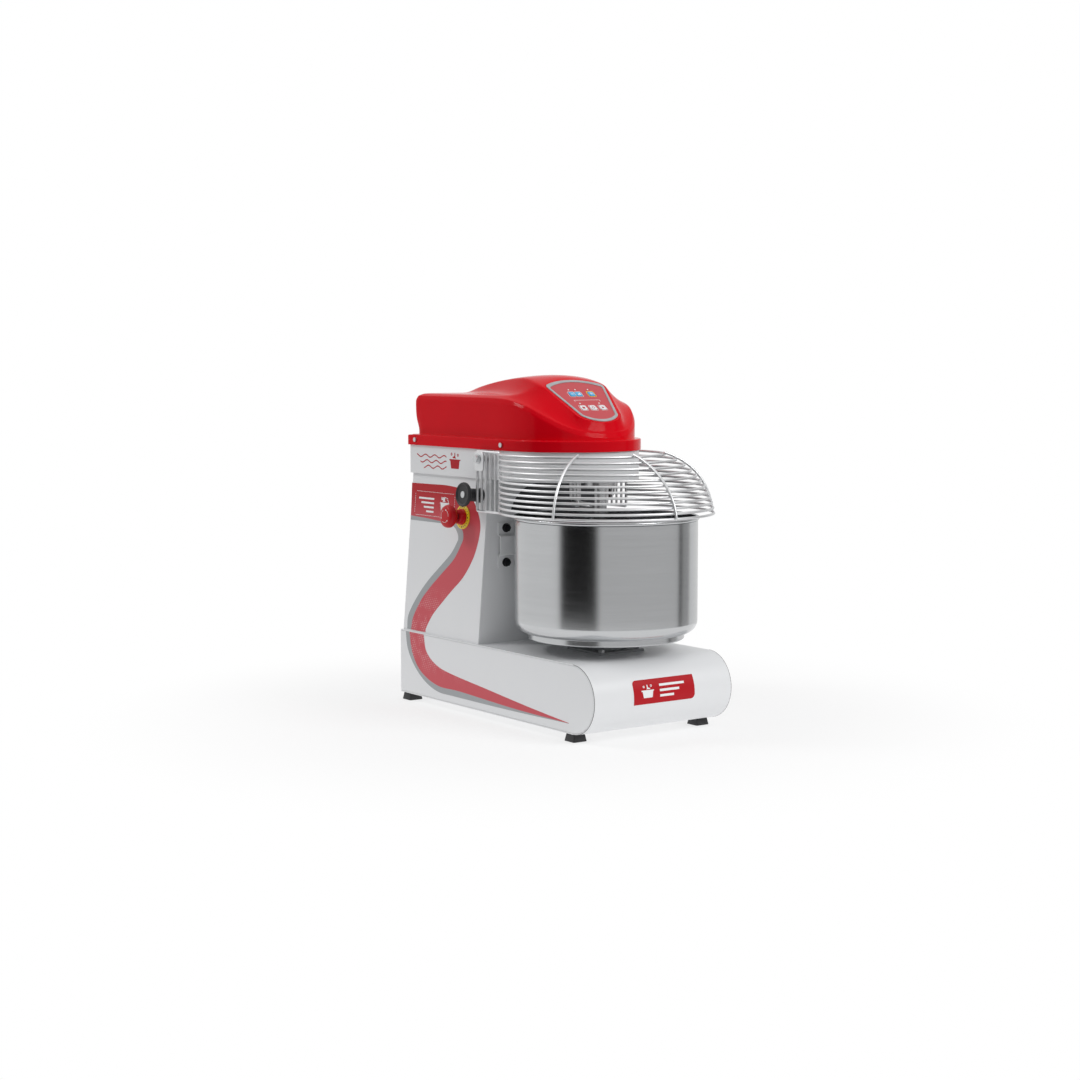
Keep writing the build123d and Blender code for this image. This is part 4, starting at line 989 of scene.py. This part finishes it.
class MIXER_OT_stripes(bpy.types.Operator):
    """Red and grey stripes sweeping from the column's head down to the base's nose"""
    bl_idname = "mixer.stripes"
    bl_label = "Side stripes"

    def execute(self, context):
        foot = COLUMN_FOOT * 1000
        for side, tag in ((-1, "left"), (1, "right")):
            front = smooth_line(TOP_EDGE + RED_COLUMN)
            inner = smooth_line([(307, 347.3), (250, 345.5)] + BETWEEN_COLUMN)
            under = smooth_line([(307, 339.3), (250, 339.4)] + GREY_COLUMN)
            column = on_side(side, True)
            down = [[(y, z - foot) for y, z in line] for line in (front, inner, under)]
            sticker("stripe_column_red_" + tag, [down[0] + down[1][::-1]], column, "stripe_red")
            sticker("stripe_column_grey_" + tag, [down[1] + down[2][::-1]], column, "stripe_grey")
            lines = [smooth_line(line) for line in (RED_BASE, BETWEEN_BASE, GREY_BASE)]
            base = on_side(side, False)
            sticker("stripe_base_red_" + tag, [lines[0] + lines[1][::-1]], base, "stripe_red")
            sticker("stripe_base_grey_" + tag, [lines[1] + lines[2][::-1]], base, "stripe_grey")
        return {"FINISHED"}


def ringed(cy, cz, radius, border):
    """Outer and inner outline of a ring."""
    return [[(cy + reach * cos(radians(a)), cz + reach * sin(radians(a))) for a in range(0, 361, 10)]
            for reach in (radius, radius - border)]


def bowl_sign(scale=1.0):
    """Plain picture of a bowl with a hook in it, about its centre."""
    bowl = [(-9, 3), (9, 3), (9, 1.8), (7.6, 1.8), (6.2, -5.5), (-6.2, -5.5), (-7.6, 1.8), (-9, 1.8)]
    hook = [(-0.6, 9), (0.6, 9), (0.6, 6), (3.6, 5), (3.6, 4), (-2, 4), (-0.6, 5)]
    drops = ringed(-5, 7, 1.3, 0.7) + ringed(5.4, 7.6, 1.3, 0.7)
    return [[(x * scale, y * scale) for x, y in loop] for loop in [bowl, hook] + drops]


class MIXER_OT_labels(bpy.types.Operator):
    """Dashed label frame on the stripes, sign on the head band and badge on the nose"""
    bl_idname = "mixer.labels"
    bl_label = "Labels and badge"

    def execute(self, context):
        foot = COLUMN_FOOT * 1000
        for side, tag in ((-1, "left"), (1, "right")):
            column = on_side(side, True) @ Matrix.Translation(mm(0, 0, 0.16))
            middle_y, middle_z = 228.0, 372.6 - foot
            dashes = []
            width, height = 134.0, 45.0
            for step in range(28):
                x = -width / 2 + 6 + step * (width - 12) / 27
                for z in (-height / 2, height / 2 - 0.8):
                    dashes.append([(x - 1.4, z), (x + 1.4, z), (x + 1.4, z + 0.8), (x - 1.4, z + 0.8)])
            for step in range(9):
                z = -height / 2 + 6 + step * (height - 12) / 8
                for x in (-width / 2, width / 2 - 0.8):
                    dashes.append([(x, z - 1.4), (x + 0.8, z - 1.4), (x + 0.8, z + 1.4), (x, z + 1.4)])
            sticker("label_dashes_" + tag, shifted(dashes, middle_y, middle_z), column, "print_white")
            sign = bowl_sign(1.7) + ringed(0, 0, 15.5, 1.1)
            sticker("label_sign_" + tag, shifted(sign, middle_y - 33, middle_z), column, "print_white")
            bars = [[(-8, z), (44 - 9 * n, z), (44 - 9 * n, z + 3.4), (-8, z + 3.4)]
                    for n, z in enumerate((8, 0, -8, -16))]
            sticker("label_bars_" + tag, shifted(bars, middle_y + 10, middle_z), column, "print_white")
            head = Matrix.Translation((side * mm(127.12), 0, 0)) @ on_side(side, False).to_3x3().to_4x4()
            sticker("band_sign_" + tag, shifted(bowl_sign(2.0), 158, 452), head, "print_red")
            waves = []
            for n in range(3):
                z = 462 - 10 * n
                line = [(186 + 4 * k, z + 2.6 * sin(k * 0.8 + n)) for k in range(26 - 3 * n)]
                waves.append(line + [(y, h - 2.0) for y, h in line[::-1]])
            sticker("band_waves_" + tag, waves, head, "print_red")
        plate = [rounded(66.0, 21.0, (0.8, 8.0, 0.8, 8.0), 10)]
        self.badge("badge_red", shifted(plate, 0, 11), "print_red", 0.25)
        bars = [[(-10, z), (44 - 12 * n, z), (44 - 12 * n, z + 4), (-10, z + 4)]
                for n, z in enumerate((7, -2, -11))]
        for side, tag in ((-1, "left"), (1, "right")):
            bend = NOSE_RADIUS - 0.15
            arc = [(side * 148.72, NOSE_Y - bend * cos(radians(a)), NOSE_Z + bend * sin(radians(a)))
                   for a in range(-90, 91, 6)]
            bm = bmesh.new()
            curve_mesh(bm, [arc], "POLY", mm(0.42), False, False)
            piece("nose_seam_" + tag, bm, "root", "print_black")
        sign = shifted(bowl_sign(1.5), -36, 9) + shifted(bars, 0, 11)
        self.badge("badge_sign", sign, "print_white", 0.5)
        return {"FINISHED"}

    def badge(self, name, loops, finish, lift):
        """Outline bent round the nose, whose front is part of a level cylinder."""
        bm = bmesh.new()
        curve_mesh(bm, loops, "POLY", 0, True, True, Matrix(), 1, mm(0.08))
        for z in range(-36, 37, 4):
            bmesh.ops.bisect_plane(bm, geom=bm.verts[:] + bm.edges[:] + bm.faces[:],
                                   plane_co=mm(0, z, 0), plane_no=(0, 1, 0))
        for vert in bm.verts:
            angle = vert.co.y / mm(NOSE_RADIUS)
            out = mm(NOSE_RADIUS + lift) + vert.co.z
            vert.co = Vector((vert.co.x, mm(NOSE_Y) - out * cos(angle), mm(NOSE_Z) + out * sin(angle)))
        piece(name, bm, "root", finish)


class MIXER_OT_painted_shade(bpy.types.Operator):
    """Dark plate on the column's front, between the bowl's rim and the head: a dark sheet of painted
    shade that stands for the shade in the hollow under the head
    """
    bl_idname = "mixer.shield"
    bl_label = "Painted shade plate"

    def execute(self, context):
        edge = [(-10 + 67 * cos(radians(a)), 350 + 67 * sin(radians(a))) for a in range(160, 91, -5)]
        loop = [(-74.5, 366)] + edge + [(112, 417), (117, 412), (120, 366)]
        place = Matrix.Translation(mm(0, 56.4, 0)) @ Matrix.Rotation(pi / 2, 4, "X")
        sticker("column_splash_plate", [loop], place, "shield_grey", thick=0.6)
        return {"FINISHED"}


# ---- stage ----
class MIXER_OT_stage(bpy.types.Operator):
    """White floor, surroundings, lamps and camera"""
    bl_idname = "mixer.stage"
    bl_label = "Stage"

    def execute(self, context):
        scene = context.scene
        bm = bmesh.new()
        bmesh.ops.create_circle(bm, cap_ends=True, radius=0.95, segments=96)
        mesh = bpy.data.meshes.new("floor")
        bm.to_mesh(mesh)
        bm.free()
        floor = bpy.data.objects.new("floor", mesh)
        scene.collection.objects.link(floor)
        mesh.materials.append(self.floor_finish())
        self.surroundings(scene)
        self.lamp("front_softbox", (1.2, -3.0, 2.4), (0.1, 0, 0.3), 2.0, 62)
        self.lamp("left_softbox", (-2.2, 1.8, 2.6), (0, 0, 0.4), 1.0, 26)
        lens = bpy.data.cameras.new("view")
        lens.lens, lens.sensor_width = 67.56, 36
        lens.clip_end = 100
        camera = bpy.data.objects.new("view", lens)
        camera.location = (-2.1511, -2.9159, 0.6522)
        camera.rotation_euler = (radians(84.70), 0, radians(-35.77))
        scene.collection.objects.link(camera)
        scene.camera = camera
        scene.view_settings.view_transform = "Standard"
        return {"FINISHED"}

    def lamp(self, name, place, target, size, power):
        light = bpy.data.lights.new(name, "AREA")
        light.shape, light.size, light.energy = "DISK", size, power
        lamp = bpy.data.objects.new(name, light)
        lamp.location = place
        aim = Vector(target) - Vector(place)
        lamp.rotation_euler = aim.to_track_quat("-Z", "Y").to_euler()
        bpy.context.scene.collection.objects.link(lamp)

    def floor_finish(self):
        """Matt white near the mixer that fades into plain white light."""
        finish = Finish("floor_white", (0.93, 0.93, 0.935), 0.9)
        finish.vary_colour(finish.grain(0.3), 0.995, 1.0)
        finish.vary_rough(finish.grain(0.2), 0.02)
        glow = finish.out("Emission", {"Color": (1.0, 1.0, 1.0), "Strength": 1.0})
        far = (finish.x * finish.x + finish.y * finish.y) ** 0.5
        blend = finish.out("MixShader", {"Fac": far.ease(0.35, 0.92) * 0.35 + 0.65})
        links = finish.tree.links
        links.new(finish.shader.outputs[0], blend.socket.node.inputs[1])
        links.new(glow.socket, blend.socket.node.inputs[2])
        output = next(n for n in finish.tree.nodes if n.type == "OUTPUT_MATERIAL")
        links.new(blend.socket, output.inputs[0])
        return finish.material

    def surroundings(self, scene):
        """White studio with dark cards for the steel to mirror."""
        world = bpy.data.worlds.new("studio")
        world.use_nodes = True
        scene.world = world
        graph = Graph(world.node_tree)
        x, y, z = graph.axes(graph.out("TexCoord", output=0))
        azimuth = y.maths("ARCTAN2", y, x) * (180 / pi)
        turn = (azimuth + 360).wrap(360) * 360
        level = 0.80 - 0.20 * turn.ease(222, 232) - 0.22 * turn.ease(332, 345)
        flat = 1 - abs(z).ease(0.55, 0.8)
        dark = turn.ease(170, 177) * (1 - turn.ease(218, 228)) * flat
        line = turn.ease(334, 337) * (1 - turn.ease(341, 344)) * flat
        level = level * (1 - dark * 0.995) * (1 - line * 0.85) + z.ease(0.5, 0.9) * 0.25
        path = graph.node("LightPath")
        straight, diffuse = (Signal(graph, path.outputs[n]) for n in (0, 2))
        level = level * (1 - diffuse * 0.24)
        level = level * (1 - straight) + straight
        background = graph.out("Background", {"Color": (1.0, 1.0, 1.0), "Strength": level})
        graph.node("OutputWorld", {"Surface": background})


# ---- finishes ----
class MIXER_OT_finishes(bpy.types.Operator):
    """Materials for every CAD node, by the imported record's slots"""
    bl_idname = "mixer.finishes"
    bl_label = "Finishes"

    def execute(self, context):
        finishes.update(make_finishes(context.scene.mixer_colours))
        for part in frame["record"]["subparts"]:
            mesh = frame["nodes"][part["node"]].data
            mesh.materials.clear()
            mesh.materials.append(finishes[part["material_slot"]])
        return {"FINISHED"}


# ---- panel and registration ----
STEPS = (MIXER_OT_finishes, MIXER_OT_cover, MIXER_OT_feet, MIXER_OT_bumpers, MIXER_OT_stop,
         MIXER_OT_guard, MIXER_OT_bowl, MIXER_OT_hook, MIXER_OT_keys, MIXER_OT_stripes,
         MIXER_OT_labels, MIXER_OT_painted_shade, MIXER_OT_stage)


class MIXER_PT_sidebar(bpy.types.Panel):
    """Sizes, colours and building steps of the mixer"""
    bl_label = "Spiral mixer"
    bl_space_type = "VIEW_3D"
    bl_region_type = "UI"
    bl_category = "Mixer"

    def draw(self, context):
        for name in GROUPS:
            group = getattr(context.scene, name)
            box = self.layout.box()
            for prop in group.bl_rna.properties:
                if prop.identifier not in ("name", "rna_type"):
                    box.prop(group, prop.identifier)
        for step in STEPS:
            self.layout.operator(step.bl_idname)


GROUPS = {"mixer_colours": MixerColours, "mixer_cover": MixerCover, "mixer_guard": MixerGuard,
          "mixer_bowl": MixerBowl}


def register():
    for kind in (*GROUPS.values(), *STEPS, MIXER_PT_sidebar):
        bpy.utils.register_class(kind)
    for name, group in GROUPS.items():
        setattr(bpy.types.Scene, name, PointerProperty(type=group))


def unregister():
    for name in GROUPS:
        delattr(bpy.types.Scene, name)
    for kind in (MIXER_PT_sidebar, *reversed(STEPS), *reversed(list(GROUPS.values()))):
        bpy.utils.unregister_class(kind)


def main():
    register()
    for step in STEPS:
        group, name = step.bl_idname.split(".")
        getattr(getattr(bpy.ops, group), name)()


if __name__ == "__main__":
    main()
